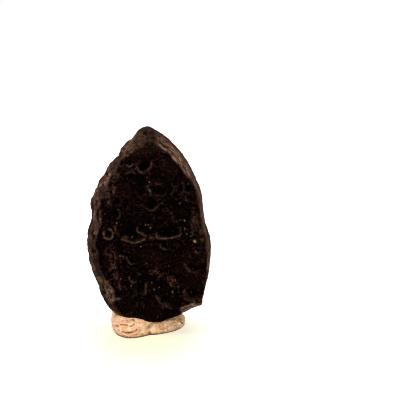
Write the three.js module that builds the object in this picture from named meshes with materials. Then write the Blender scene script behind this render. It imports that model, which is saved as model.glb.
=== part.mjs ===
// A tektite: a pointed, flattened piece of black natural glass, stood upright in a pressed lump of putty.
// Millimetres. +X is right, +Y is away from the viewer, +Z is up, and the putty's flat underside is at z = 0.
import * as THREE from "three";
import { mergeVertices } from "three/addons/utils/BufferGeometryUtils.js";

// Driving sizes of the stone.
const STONE_CENTRE = new THREE.Vector3(0, 0, 15.2);
const FRONT_DEPTH = 4.5; // centre plane to the flat front face
const FRONT_CROWN = 0.35; // how far the front face falls back at its rim
const BACK_DEPTH = 5.0; // centre plane to the crown of the back
const BACK_CROWN = 1.3; // how far the back falls away at its rim
const BACK_INSET = 4.2; // how far the domed back is drawn in from the silhouette
const FRONT_ARCH = 2.2; // power of the bevel's curve from the silhouette to the front face
const BACK_ARCH = 2.3; // the same for the back
const EDGE_ROUNDING = 0.3;
const BACK_ROUNDING = 1.6;
const STONE_DETAIL = 19; // geodesic frequency: 20 * (19 + 1)^2 faces
const FRONT_BIAS = 0.25; // draws more of the mesh to the front, which carries the fine relief
const SPREAD = new THREE.Vector3(8.6, 6.6, 14.2); // the ball's half sizes before it is moulded to the skin
const MOST_SPREADS = 2; // the skin is always nearer than this many times the ball's surface
const HALVINGS = 32; // steps of the search for the skin
const RELIEF_FROM = 0.35; // how squarely a spot must face the front to carry the front's relief at all
const RELIEF_FULL = 0.75; // and to carry it at full depth

// Silhouette of the stone seen from the front, clockwise from the tip: x, z.
const OUTLINE = [
  [-0.3, 29.5], [0.9, 29.0], [2.2, 28.15], [3.4, 27.1], [4.7, 25.7], [5.6, 24.3], [6.3, 22.7],
  [7.2, 20.9], [7.55, 19.3], [7.7, 17.6], [8.05, 15.8], [8.45, 14.5], [8.65, 13.2], [8.7, 11.6],
  [8.6, 9.8], [8.35, 8.2], [7.95, 6.4], [7.65, 5.0], [7.4, 4.1], [6.3, 3.6], [4.5, 2.75],
  [3.0, 1.7], [1.4, 1.2], [-0.4, 1.2], [-1.9, 1.4], [-3.8, 1.9], [-5.35, 2.85], [-6.45, 4.05],
  [-7.1, 5.6], [-7.7, 7.2], [-8.3, 9.1], [-8.65, 11.3], [-8.8, 13.0], [-8.65, 14.8], [-8.2, 16.0],
  [-8.15, 17.4], [-8.25, 18.7], [-8.05, 19.6], [-7.4, 21.0], [-7.0, 21.8], [-5.9, 23.6], [-4.4, 25.3],
  [-3.9, 26.2], [-3.0, 27.3], [-2.15, 28.25], [-1.4, 29.05],
];

// Width of the bevelled band between the front face and the silhouette, by compass angle round the stone
// (degrees, 0 towards +X, anticlockwise seen from the front). It is widest down the left side.
const BEVELS = [
  [0, 0.45], [35, 0.45], [51, 0.5], [57, 0.85], [69, 1.1], [75, 1.2], [82, 1.5], [100, 1.8],
  [109, 0.9], [119, 0.7], [128, 1.3], [140, 1.1], [155, 1.4], [180, 1.7], [197, 1.85], [212, 2.1],
  [226, 2.4], [236, 2.7], [245, 1.9], [256, 1.2], [290, 1.0], [302, 0.8], [312, 0.45], [335, 0.45],
  [350, 0.6], [360, 0.45],
];

// Broad waves of the skin: their share at the silhouette, and the distance from its plane to their full height.
const LUMPS = { atSilhouette: 0.25, fade: 3 };

// Ledges that run up the left wall, like thin layers worn back at different rates.
const STRATA = { fromAngle: 105, toAngle: 235, fade: 20, pitch: 2.1, depth: 0.2, sway: 0.4, clearOfRim: 0.3 };

// Broken and ablated facets: a point on each and its outward direction.
const FACETS = [
  { name: "tip", at: [-1.2, -4.4, 26.2], facing: [-0.1, -0.75, 0.66] },
  { name: "left shoulder", at: [-6.6, -3.3, 22.0], facing: [-0.72, -0.55, 0.42] },
  { name: "lower left", at: [-5.7, -4.3, 6.8], facing: [-0.74, -0.64, -0.2] },
  { name: "chipped corner", at: [5.8, -4.0, 4.4], facing: [0.3, -0.5, -0.82] },
  { name: "back upper", at: [1.5, 4.3, 22.5], facing: [0.2, 0.86, 0.46] },
  { name: "back left", at: [-5.2, 3.8, 13.0], facing: [-0.62, 0.78, 0.02] },
  { name: "back lower right", at: [4.6, 3.9, 7.4], facing: [0.5, 0.8, -0.32] },
];

// Relief of the front face that shows from a step away, each an oval: centre x and z, half width, half height,
// depth (a ridge stands out, so its depth is negative) and turn in degrees.
const FRONT_RELIEF = [
  { name: "tall pit under the tip", x: 0.1, z: 24.8, rx: 1.15, rz: 1.5, depth: 0.8, turn: -8 },
  { name: "small ring by the shoulder", x: -2.5, z: 24.8, rx: 0.65, rz: 0.65, depth: 0.45, turn: 0 },
  { name: "pit below it", x: -2.3, z: 22.9, rx: 0.85, rz: 0.75, depth: 0.5, turn: 0 },
  { name: "pocket under the bevel", x: 2.4, z: 25.6, rx: 0.55, rz: 0.7, depth: 0.4, turn: 0 },
  { name: "upper right oval", x: 4.6, z: 21.4, rx: 0.65, rz: 1.05, depth: 0.5, turn: 0 },
  { name: "upper right pit", x: 5.75, z: 21.1, rx: 0.6, rz: 0.65, depth: 0.45, turn: 0 },
  { name: "middle high pit", x: 1.9, z: 20.9, rx: 1.2, rz: 0.95, depth: 0.55, turn: 0 },
  { name: "slanting light ridge", x: 0.35, z: 21.1, rx: 0.5, rz: 0.95, depth: -0.3, turn: 15 },
  { name: "middle cup", x: 0.6, z: 19.1, rx: 1.1, rz: 0.9, depth: 0.6, turn: 25 },
  { name: "left deep pit", x: -4.5, z: 17.7, rx: 0.85, rz: 0.85, depth: 0.6, turn: 0 },
  { name: "left slot", x: -6.25, z: 19.4, rx: 0.45, rz: 1.5, depth: 0.5, turn: 4 },
  { name: "clear ring", x: -5.5, z: 14.85, rx: 0.8, rz: 0.85, depth: 0.6, turn: 0 },
  { name: "left half of the long lip", x: -2.2, z: 15.1, rx: 2.0, rz: 1.45, depth: 0.75, turn: 4 },
  { name: "centre cup", x: -0.45, z: 15.55, rx: 1.05, rz: 1.0, depth: 0.85, turn: 0 },
  { name: "right half of the long lip", x: 3.0, z: 15.5, rx: 2.0, rz: 1.3, depth: 0.8, turn: 8 },
  { name: "crescent under the lip", x: 2.5, z: 13.2, rx: 1.0, rz: 0.7, depth: 0.45, turn: -12 },
  { name: "hole over the bead", x: 6.5, z: 14.3, rx: 0.6, rz: 0.55, depth: 0.45, turn: 0 },
  { name: "small left pit", x: -3.65, z: 12.05, rx: 0.6, rz: 0.6, depth: 0.4, turn: 0 },
  { name: "lower left cup", x: -2.1, z: 11.1, rx: 1.0, rz: 0.8, depth: 0.55, turn: 0 },
  { name: "lower cup", x: -2.05, z: 8.5, rx: 0.75, rz: 0.75, depth: 0.55, turn: 0 },
  { name: "tall lower oval", x: -1.1, z: 6.9, rx: 0.75, rz: 1.4, depth: 0.6, turn: 0 },
  { name: "lower right cup", x: 2.3, z: 5.4, rx: 1.0, rz: 0.95, depth: 0.55, turn: 0 },
  { name: "corner bowl", x: 6.2, z: 6.2, rx: 1.4, rz: 1.2, depth: 0.8, turn: 0 },
  { name: "right hollow", x: 6.2, z: 9.6, rx: 1.4, rz: 1.6, depth: 0.35, turn: 0 },
  { name: "left corner slot", x: -4.35, z: 6.4, rx: 0.55, rz: 0.9, depth: 0.55, turn: 0 },
  { name: "left standing ridge", x: -4.8, z: 10.8, rx: 0.55, rz: 2.0, depth: -0.35, turn: 3 },
  { name: "hollow beside it", x: -6.1, z: 11.6, rx: 0.6, rz: 2.0, depth: 0.45, turn: 6 },
  { name: "rough swelling", x: 2.0, z: 9.2, rx: 2.0, rz: 1.3, depth: -0.3, turn: 12 },
  { name: "slanting groove", x: 2.6, z: 7.4, rx: 0.45, rz: 1.9, depth: 0.5, turn: 50 },
  { name: "bright streak", x: 5.6, z: 10.3, rx: 0.35, rz: 0.8, depth: -0.25, turn: 25 },
];

// Pits scattered over the back, where the silhouette stays as it is.
const BACK_PITS = { count: 70, smallest: 0.6, largest: 1.7, depthShare: 0.4, clearOfRim: 1.0, seed: 7 };

// The putty's edge on the floor seen from above, anticlockwise from its right end: x, y.
const PUTTY_OUTLINE = [
  [5.1, 1.6], [4.7, 3.2], [3.1, 4.2], [0.6, 3.9], [-2.2, 3.1], [-4.4, 2.5], [-5.4, 1.2],
  [-5.5, -0.6], [-5.25, -2.2], [-4.45, -3.9], [-3.05, -5.1], [-1.45, -4.75], [0.05, -3.6], [1.5, -3.1],
  [3.1, -2.05], [4.4, -0.5],
];
const PUTTY_CENTRE = new THREE.Vector2(-0.2, -0.2);
const PUTTY_HEIGHT = 3.1; // where the stone doesn't press it down
const PUTTY_FALL = 0.09; // how much lower it gets for each millimetre to the right
const PUTTY_SIDE = 0.6; // power of its section: the smaller, the more upright its side
const PUTTY_BELLY = 0.34; // height of its widest level, as a share of its own height
const PUTTY_DETAIL = 9;
// Creases pressed and rolled into the putty's side: centre, half size across and up, and depth.
const PUTTY_CREASES = [
  { name: "pinch between the lobes", at: [0.15, -3.4, 1.0], across: 0.55, up: 1.6, depth: 0.45 },
  { name: "upper fold", at: [-3.3, -4.6, 1.75], across: 1.5, up: 0.3, depth: 0.3 },
  { name: "fold over the curled lip", at: [-2.7, -4.9, 0.75], across: 1.3, up: 0.28, depth: 0.35 },
  { name: "fold at the right end", at: [4.4, -0.2, 1.3], across: 0.5, up: 0.4, depth: 0.35 },
];
const GAP = 0.3; // clearance between the stone and the putty that holds it
const FLOOR = 0;


// Repeatable random numbers from 0 to 1.
function seededRandom(seed) {
  let state = seed;
  return () => {
    state = (state * 16807) % 2147483647;
    return state / 2147483647;
  };
}

// Smooth version of max(a, b), rounding the edge between two surfaces over a width of about k.
function smoothMax(a, b, k) {
  const overlap = Math.max(k - Math.abs(a - b), 0) / k;
  return Math.max(a, b) + (overlap * overlap * k) / 4;
}

// Reads a value from a list of [angle, value] rows that goes once round in degrees.
function readRound(rows, degrees) {
  const wrapped = ((degrees % 360) + 360) % 360;
  const next = rows.findIndex((row) => row[0] > wrapped);
  const [a0, v0] = rows[next - 1];
  const [a1, v1] = rows[next];
  return THREE.MathUtils.lerp(v0, v1, (wrapped - a0) / (a1 - a0));
}

// Reach of a closed outline from a centre by compass angle, through a smooth curve: rows of [degrees, reach].
function makeRim(outline, centre) {
  const steps = 12; // points on the curve for each point of the outline
  const points = outline.map(([u, v]) => new THREE.Vector3(u - centre.x, v - centre.y, 0));
  const curve = new THREE.CatmullRomCurve3(points, true, "centripetal");
  const rows = curve.getPoints(outline.length * steps).map((p) => {
    const angle = THREE.MathUtils.radToDeg(Math.atan2(p.y, p.x));
    return [(angle + 360) % 360, Math.hypot(p.x, p.y)];
  });
  rows.sort((a, b) => a[0] - b[0]);
  const first = rows[0];
  const last = rows[rows.length - 1];
  return [[last[0] - 360, last[1]], ...rows, [first[0] + 360, first[1]]];
}

const STONE_RIM = makeRim(OUTLINE, new THREE.Vector2(STONE_CENTRE.x, STONE_CENTRE.z));
const PUTTY_RIM = makeRim(PUTTY_OUTLINE, PUTTY_CENTRE);

// Broad waves of the skin, from a few long sine waves that cross each other. They fade at the silhouette.
function lumps(x, y, z) {
  const waves =
    0.12 * Math.sin(0.8 * x + 0.45 * z + 1.0) * Math.sin(0.5 * z - 0.4 * y) +
    0.09 * Math.sin(1.3 * x - 0.7 * z + 0.8 * y + 2.1) +
    0.05 * Math.sin(1.9 * z + 1.1 * x - 1.5 * y + 0.4);
  return waves * THREE.MathUtils.lerp(LUMPS.atSilhouette, 1, Math.min(1, Math.abs(y) / LUMPS.fade));
}

// The ledges of the left wall, none of them on the silhouette itself.
function strata(p, angle) {
  const { fromAngle, toAngle, fade, pitch, depth, sway, clearOfRim } = STRATA;
  const onWall =
    THREE.MathUtils.smoothstep(angle, fromAngle, fromAngle + fade) *
    (1 - THREE.MathUtils.smoothstep(angle, toAngle - fade, toAngle));
  const layer = p.y + sway * Math.sin(0.45 * p.z);
  const inFront = THREE.MathUtils.smoothstep(-p.y, clearOfRim, clearOfRim + 1);
  return depth * onWall * inFront * Math.sin((2 * Math.PI * layer) / pitch);
}

const FACET_PLANES = FACETS.map(({ at, facing }) => {
  const normal = new THREE.Vector3(...facing).normalize();
  return { normal, offset: normal.dot(new THREE.Vector3(...at)) };
});

// Roughly the distance outside the stone's skin at a point: negative inside, positive outside.
function stoneLevel(p) {
  const dx = p.x - STONE_CENTRE.x;
  const dz = p.z - STONE_CENTRE.z;
  const angle = (THREE.MathUtils.radToDeg(Math.atan2(dz, dx)) + 360) % 360;
  const rim = readRound(STONE_RIM, angle);
  const out = Math.hypot(dx, dz);
  const share = out / rim;
  const inset =
    p.y < 0
      ? readRound(BEVELS, angle) * Math.pow(-p.y / FRONT_DEPTH, FRONT_ARCH)
      : BACK_INSET * Math.pow(p.y / BACK_DEPTH, BACK_ARCH);
  const side = out - rim + inset + strata(p, angle);
  const front = -p.y - FRONT_DEPTH + FRONT_CROWN * share * share;
  const back = p.y - BACK_DEPTH + BACK_CROWN * share * share;
  let level = smoothMax(side, front, EDGE_ROUNDING);
  level = smoothMax(level, back, BACK_ROUNDING);
  for (const { normal, offset } of FACET_PLANES) {
    level = smoothMax(level, normal.dot(p) - offset, EDGE_ROUNDING);
  }
  return level + lumps(p.x, p.y, p.z);
}

// Outward direction of the stone's skin at a point.
function stoneNormal(p) {
  const step = 0.05;
  const slope = (axis) => {
    const ahead = p.clone();
    const behind = p.clone();
    ahead[axis] += step;
    behind[axis] -= step;
    return stoneLevel(ahead) - stoneLevel(behind);
  };
  return new THREE.Vector3(slope("x"), slope("y"), slope("z")).normalize();
}

// A closed ball of even triangles with shared vertices, to be moulded into shape.
function ball(detail) {
  const sphere = new THREE.IcosahedronGeometry(1, detail);
  sphere.deleteAttribute("normal");
  sphere.deleteAttribute("uv");
  return mergeVertices(sphere, 1e-5);
}

// Calls move(point) on each vertex of a geometry, which changes the point in place.
function mould(geometry, move) {
  const position = geometry.getAttribute("position");
  const point = new THREE.Vector3();
  for (let i = 0; i < position.count; i++) {
    move(point.fromBufferAttribute(position, i));
    position.setXYZ(i, point.x, point.y, point.z);
  }
  position.needsUpdate = true;
  geometry.computeVertexNormals();
  return geometry;
}

// Moves a point of the unit ball out along its own direction until it meets the stone's skin.
function projectToStone(point) {
  point.y -= FRONT_BIAS;
  point.normalize();
  const reach = point.clone().multiply(SPREAD);
  let inside = 0;
  let outside = MOST_SPREADS;
  for (let i = 0; i < HALVINGS; i++) {
    const middle = (inside + outside) / 2;
    point.copy(STONE_CENTRE).addScaledVector(reach, middle);
    if (stoneLevel(point) < 0) inside = middle;
    else outside = middle;
  }
}

// Depth of a bowl with a flat floor and a steep wall, at t = 0 in its middle to t = 1 at its rim.
function bowl(t) {
  const floorShare = 0.4;
  return 1 - THREE.MathUtils.smoothstep(t, floorShare, 1);
}

// How far the front relief sinks the skin at a point of the front face.
function frontSink(p) {
  let pit = 0;
  let ridge = 0;
  for (const { x, z, rx, rz, depth, turn } of FRONT_RELIEF) {
    const lean = THREE.MathUtils.degToRad(turn);
    const dx = p.x - x;
    const dz = p.z - z;
    const across = (dx * Math.cos(lean) + dz * Math.sin(lean)) / rx;
    const along = (dz * Math.cos(lean) - dx * Math.sin(lean)) / rz;
    const here = depth * bowl(Math.hypot(across, along));
    pit = Math.max(pit, here);
    ridge = Math.min(ridge, here);
  }
  return pit + ridge;
}

// Spots on the stone's back, each with a radius.
function scatterPits() {
  const random = seededRandom(BACK_PITS.seed);
  const pits = [];
  while (pits.length < BACK_PITS.count) {
    const at = new THREE.Vector3(random() - 0.5, random() - 0.5, random() - 0.5).normalize();
    projectToStone(at);
    const size = random();
    const radius = THREE.MathUtils.lerp(BACK_PITS.smallest, BACK_PITS.largest, size * size);
    if (at.y > BACK_PITS.clearOfRim + radius / 2) pits.push({ at, radius });
  }
  return pits;
}

function makeStone() {
  const pits = scatterPits();
  return mould(ball(STONE_DETAIL), (point) => {
    projectToStone(point);
    const normal = stoneNormal(point);
    const frontness = THREE.MathUtils.smoothstep(-normal.y, RELIEF_FROM, RELIEF_FULL);
    let sink = frontness * frontSink(point);
    for (const { at, radius } of pits) {
      sink = Math.max(sink, BACK_PITS.depthShare * radius * bowl(at.distanceTo(point) / radius));
    }
    point.addScaledVector(normal, -sink);
  });
}

// Height of the stone's underside above a point of the floor, less the gap, or top where no stone is overhead.
function roofOverPutty(x, y, top) {
  const step = 0.05;
  const probe = new THREE.Vector3(x, y, FLOOR);
  while (probe.z < top && stoneLevel(probe) > GAP) probe.z += step;
  return Math.min(probe.z, top);
}

// How far the creases draw in the putty's side at a point.
function creaseDepth(point) {
  let depth = 0;
  for (const crease of PUTTY_CREASES) {
    const across = Math.hypot(point.x - crease.at[0], point.y - crease.at[1]) / crease.across;
    const up = (point.z - crease.at[2]) / crease.up;
    depth += crease.depth * bowl(Math.hypot(across, up));
  }
  return depth;
}

function makePutty() {
  const bulge = (value) => Math.sign(value) * Math.pow(Math.abs(value), PUTTY_SIDE);
  return mould(ball(PUTTY_DETAIL), (point) => {
    const around = Math.atan2(point.y, point.x);
    const rim = readRound(PUTTY_RIM, THREE.MathUtils.radToDeg(around));
    const out = rim * bulge(Math.hypot(point.x, point.y));
    const height = PUTTY_HEIGHT - PUTTY_FALL * out * Math.cos(around);
    const z = height * (PUTTY_BELLY + (1 - PUTTY_BELLY) * bulge(point.z));
    point.set(PUTTY_CENTRE.x + out * Math.cos(around), PUTTY_CENTRE.y + out * Math.sin(around), z);
    const inward = creaseDepth(point);
    point.x -= inward * Math.cos(around);
    point.y -= inward * Math.sin(around);
    point.z = Math.max(FLOOR, Math.min(z, roofOverPutty(point.x, point.y, height)));
  });
}

// Both pieces, named, in the colours of black glass and of pale putty.
const stone = new THREE.Mesh(
  makeStone(),
  new THREE.MeshStandardMaterial({ color: 0x16100d, roughness: 0.35, metalness: 0 }),
);
stone.name = "tektite";

const putty = new THREE.Mesh(
  makePutty(),
  new THREE.MeshStandardMaterial({ color: 0xdaad83, roughness: 0.85, metalness: 0 }),
);
putty.name = "putty";

// The origin is on the floor, under the middle of the whole thing's box.
const part = new THREE.Group();
part.add(stone, putty);
const box = new THREE.Box3().setFromObject(part);
const middle = box.getCenter(new THREE.Vector3());
for (const mesh of part.children) mesh.position.set(-middle.x, -middle.y, -box.min.z);

export default part;
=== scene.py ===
"""A tektite stood upright in a pressed lump of putty, on a white sweep under soft studio light.

Both pieces are moulded here from the same named sizes as the CAD solids that they replace, with the fine
relief that the solids leave out. Lengths are in millimetres until a mesh is made, and meshes are in metres.
"""
import itertools
import math

import bmesh
import bpy
import numpy as np
from mathutils import Matrix, Vector


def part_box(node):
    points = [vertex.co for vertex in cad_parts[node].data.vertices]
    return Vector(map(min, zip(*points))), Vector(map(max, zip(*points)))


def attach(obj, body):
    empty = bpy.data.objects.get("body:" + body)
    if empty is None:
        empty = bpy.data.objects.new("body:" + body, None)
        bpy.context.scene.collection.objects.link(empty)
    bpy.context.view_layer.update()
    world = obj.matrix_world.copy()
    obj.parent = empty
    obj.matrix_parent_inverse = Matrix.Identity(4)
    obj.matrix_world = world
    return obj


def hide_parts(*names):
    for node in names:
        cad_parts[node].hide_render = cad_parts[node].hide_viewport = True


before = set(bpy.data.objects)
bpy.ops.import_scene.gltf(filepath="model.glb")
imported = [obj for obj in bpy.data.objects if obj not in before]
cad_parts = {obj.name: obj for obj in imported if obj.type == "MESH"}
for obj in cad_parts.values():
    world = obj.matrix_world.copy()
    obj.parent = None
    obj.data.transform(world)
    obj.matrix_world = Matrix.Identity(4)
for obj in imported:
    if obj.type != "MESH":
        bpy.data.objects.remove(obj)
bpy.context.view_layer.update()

MM = 0.001

# Driving sizes of the stone
STONE_CENTRE = np.array([0.0, 0.0, 15.2])
FRONT_DEPTH = 4.5
FRONT_CROWN = 0.35
BACK_DEPTH = 5.0
BACK_CROWN = 1.3
BACK_INSET = 4.2
FRONT_ARCH = 2.2
BACK_ARCH = 2.3
EDGE_ROUNDING = 0.3
BACK_ROUNDING = 1.6
STONE_FREQUENCY = 98
FRONT_BIAS = 0.25
SPREAD = np.array([8.6, 6.6, 14.2])
MOST_SPREADS = 2.0
HALVINGS = 26

# Silhouette of the stone seen from the front, clockwise from the tip: x, z
OUTLINE = [
    (0.0, 29.46), (0.98, 29.02), (1.6, 28.6), (2.2, 28.15), (3.4, 27.1), (4.68, 25.65), (5.2, 24.75),
    (5.5, 24.3), (5.9, 23.5), (6.32, 22.75), (7.2, 20.9), (7.55, 19.3), (7.7, 17.6), (8.05, 15.8),
    (8.48, 14.5), (8.72, 13.2), (8.78, 11.7), (8.62, 9.8), (8.42, 8.2), (8.26, 7.25), (8.07, 6.4),
    (7.66, 5.0), (7.56, 3.95), (6.3, 3.52), (4.5, 2.68), (3.3, 2.1), (2.65, 1.84), (1.95, 1.54), (1.1, 1.4),
    (-0.4, 1.4), (-1.9, 1.52), (-3.8, 1.92), (-5.15, 2.85), (-6.4, 4.05), (-7.05, 5.5), (-7.18, 6.0),
    (-7.47, 6.8), (-7.68, 7.3), (-8.05, 8.15), (-8.38, 9.05), (-8.56, 10.0), (-8.7, 10.5), (-8.64, 11.0),
    (-8.52, 11.5), (-8.63, 12.1), (-8.8, 13.0), (-8.7, 13.7), (-8.66, 14.7), (-8.25, 15.7), (-8.02, 16.5),
    (-7.92, 17.2), (-8.0, 17.9), (-8.16, 18.6), (-8.07, 19.15), (-7.82, 19.6), (-7.6, 20.4), (-7.25, 20.85),
    (-7.2, 21.3), (-6.94, 21.73), (-6.54, 22.16), (-6.2, 22.6), (-5.95, 23.05), (-5.87, 23.45),
    (-5.62, 23.85), (-5.08, 24.3), (-4.7, 24.75), (-4.32, 25.15), (-4.06, 25.6), (-3.9, 26.0),
    (-3.58, 26.45), (-3.22, 26.87), (-2.76, 27.3), (-2.22, 27.7), (-1.9, 28.15), (-1.64, 28.58),
    (-1.25, 29.0), (-0.6, 29.34),
]

# Width of the bevelled band round the front face, by compass angle (degrees, 0 towards +X, anticlockwise)
BEVELS = [
    (0, 0.45), (35, 0.45), (51, 0.5), (57, 0.85), (69, 1.1), (75, 1.2), (82, 1.5), (100, 1.8), (109, 0.9),
    (119, 0.7), (128, 1.3), (140, 1.1), (155, 1.4), (180, 1.7), (197, 1.85), (212, 2.1), (226, 2.4),
    (236, 2.7), (245, 1.9), (256, 1.2), (275, 0.9), (285, 0.5), (302, 0.4), (312, 0.4), (335, 0.45),
    (350, 0.6), (360, 0.45),
]

# Broad waves of the skin: height, change of phase per millimetre of x, y and z, and phase at the origin
WAVES = [(0.09, (1.3, 0.8, -0.7), 2.1), (0.05, (1.1, -1.5, 1.9), 0.4)]
# Two waves that are multiplied: their height, the first's change per x and z and its phase, the second's
# change per z and y
CROSSED_WAVE = {"height": 0.12, "first": (0.8, 0.45, 1.0), "second": (0.5, -0.4)}
LUMPS = {"at_silhouette": 0.25, "fade": 3.0}

# Ledges that run up the left wall
STRATA = {"from": 105.0, "to": 235.0, "fade": 20.0, "pitch": 2.1, "depth": 0.2, "sway": 0.4, "clear": 0.3}
SWAY_WAVE = 0.45

# Broken and ablated facets: a point on each, its outward direction and how far its edges are rounded
FACETS = {
    "tip": ((-1.2, -4.4, 26.2), (-0.1, -0.75, 0.66), 1.4),
    "left shoulder": ((-6.6, -3.3, 22.0), (-0.72, -0.55, 0.42), 0.8),
    "lower left": ((-5.7, -4.3, 6.8), (-0.74, -0.64, -0.2), 0.3),
    "back upper": ((1.5, 4.3, 22.5), (0.2, 0.86, 0.46), 0.6),
    "back left": ((-5.2, 3.8, 13.0), (-0.62, 0.78, 0.02), 0.6),
    "back lower right": ((4.6, 3.9, 7.4), (0.5, 0.8, -0.32), 0.6),
}

# The chip out of the lower right corner, a rounded trough that runs back and down: a point on its axis,
# the way the axis runs, and its radius
CHIP = {"at": (6.95, -4.4, 1.5), "along": (0.0, 0.86, -0.51), "radius": 3.02, "edge": 0.2}

# Pits of the front face: centre x and z, half width, half height, depth, turn, height of the raised lip,
# and the part of the rim that the lip and its painted highlight run round, in degrees anticlockwise from the
# right
PITS = {
    "tall pit under tip": (-0.1, 24.5, 0.8, 1.15, 0.55, -26, 0.0, (175, 365)),
    "small ring by shoulder": (-2.35, 24.75, 0.4, 0.38, 0.4, 0, 0.13, (190, 370)),
    "pit below it": (-2.35, 22.95, 0.75, 0.62, 0.6, 0, 0.05, (20, 170)),
    "pocket under bevel": (2.4, 25.65, 0.35, 0.45, 0.3, 0, 0.04, (200, 340)),
    "upper right oval": (4.6, 21.4, 0.5, 0.9, 0.35, 0, 0.07, (-80, 60)),
    "upper right pit": (5.75, 21.05, 0.42, 0.4, 0.3, 0, 0.08, (180, 300)),
    "middle high crescent": (1.75, 20.95, 0.9, 0.75, 0.35, 0, 0.06, (200, 350)),
    "shallow neighbour": (3.1, 21.2, 0.6, 0.75, 0.2, 0, 0.05, (-70, 80)),
    "middle cup": (0.6, 19.1, 0.95, 0.82, 0.42, 22, 0.085, (185, 345)),
    "left deep pit": (-4.5, 17.65, 0.68, 0.72, 0.42, 0, 0.09, (-70, 70)),
    "left upper pit": (-4.1, 19.4, 0.5, 0.6, 0.25, 0, 0.06, (-60, 90)),
    "clear ring": (-5.48, 14.9, 0.48, 0.66, 0.45, 0, 0.0, (0, 360)),
    "ring on lip": (-3.2, 14.42, 0.25, 0.22, 0.14, 0, 0.08, (0, 360)),
    "left half of long lip": (-2.3, 15.1, 1.6, 1.3, 0.45, 4, 0.0, (178, 345)),
    "centre cup": (-0.5, 15.45, 0.85, 0.7, 0.5, 0, 0.0, (165, 335)),
    "right half of long lip": (3.0, 15.25, 1.75, 0.85, 0.3, 5, 0.0, (188, 350)),
    "crescent under lip": (2.5, 13.2, 0.75, 0.5, 0.28, -12, 0.0, (190, 300)),
    "hole over bead": (6.5, 14.32, 0.42, 0.36, 0.35, 0, 0.05, (180, 360)),
    "small left pit": (-3.65, 12.05, 0.42, 0.36, 0.28, 0, 0.11, (215, 325)),
    "lower left cup": (-2.05, 11.0, 0.62, 0.4, 0.35, 0, 0.0, (175, 300)),
    "lower cup": (-2.0, 8.55, 0.5, 0.5, 0.35, 0, 0.0, (175, 290)),
    "tall lower oval": (-1.1, 6.95, 0.62, 1.25, 0.4, 0, 0.0, (-65, 60)),
    "lower right cup": (2.2, 5.45, 0.62, 0.5, 0.35, 0, 0.0, (165, 320)),
    "corner bowl": (6.2, 6.25, 1.25, 1.0, 0.45, 0, 0.08, (200, 300)),
    "dark corner of bowl": (7.1, 5.85, 0.45, 0.3, 0.35, 0, 0.04, (0, 360)),
    "right hollow": (6.45, 10.0, 0.75, 0.6, 0.22, 0, 0.04, (180, 360)),
    "left corner slot": (-4.38, 6.4, 0.34, 0.65, 0.4, 0, 0.0, (235, 300)),
    "faint ring": (-5.4, 12.4, 0.45, 0.45, 0.1, 0, 0.07, (60, 330)),
    "pit at tip": (0.0, 28.7, 0.2, 0.16, 0.2, 0, 0.03, (0, 360)),
    "notch in left edge": (-1.5, 28.2, 0.16, 0.35, 0.2, 20, 0.03, (0, 360)),
    "pit in bumpy edge": (-2.05, 26.62, 0.22, 0.16, 0.2, 0, 0.04, (0, 360)),
    "pit by small ring": (-3.55, 24.65, 0.3, 0.32, 0.22, 0, 0.06, (180, 340)),
    "outer pit beside it": (-4.2, 24.7, 0.25, 0.35, 0.2, 0, 0.05, (180, 340)),
    "pit under shoulder": (-5.0, 21.6, 0.22, 0.3, 0.22, 0, 0.04, (180, 340)),
    "hollow in rough patch": (4.15, 10.2, 0.32, 0.25, 0.2, 0, 0.03, (180, 360)),
    "second hollow there": (1.75, 8.5, 0.35, 0.28, 0.22, 0, 0.06, (60, 250)),
    "third hollow there": (1.4, 10.2, 0.3, 0.24, 0.18, 0, 0.05, (0, 360)),
    "pit under right lip": (7.0, 12.5, 0.35, 0.3, 0.2, 0, 0.05, (180, 360)),
    "pit by right edge": (6.35, 22.3, 0.22, 0.4, 0.2, 10, 0.05, (0, 360)),
}
# A pit's wall beside its lip, the lip's half width, the degrees over which a lip ends, its crest as a share
# of the pit's radius, the lip height that gets the full painted highlight, and how fast the painted
# highlight of lower lips grows dim
PIT_LIP = {"wall": 0.26, "width": 0.095, "end": 25, "crest": 1.05, "bright": 0.16, "dimming": 1.6}
SMALLEST_PIT_FLOOR = 0.15
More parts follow.
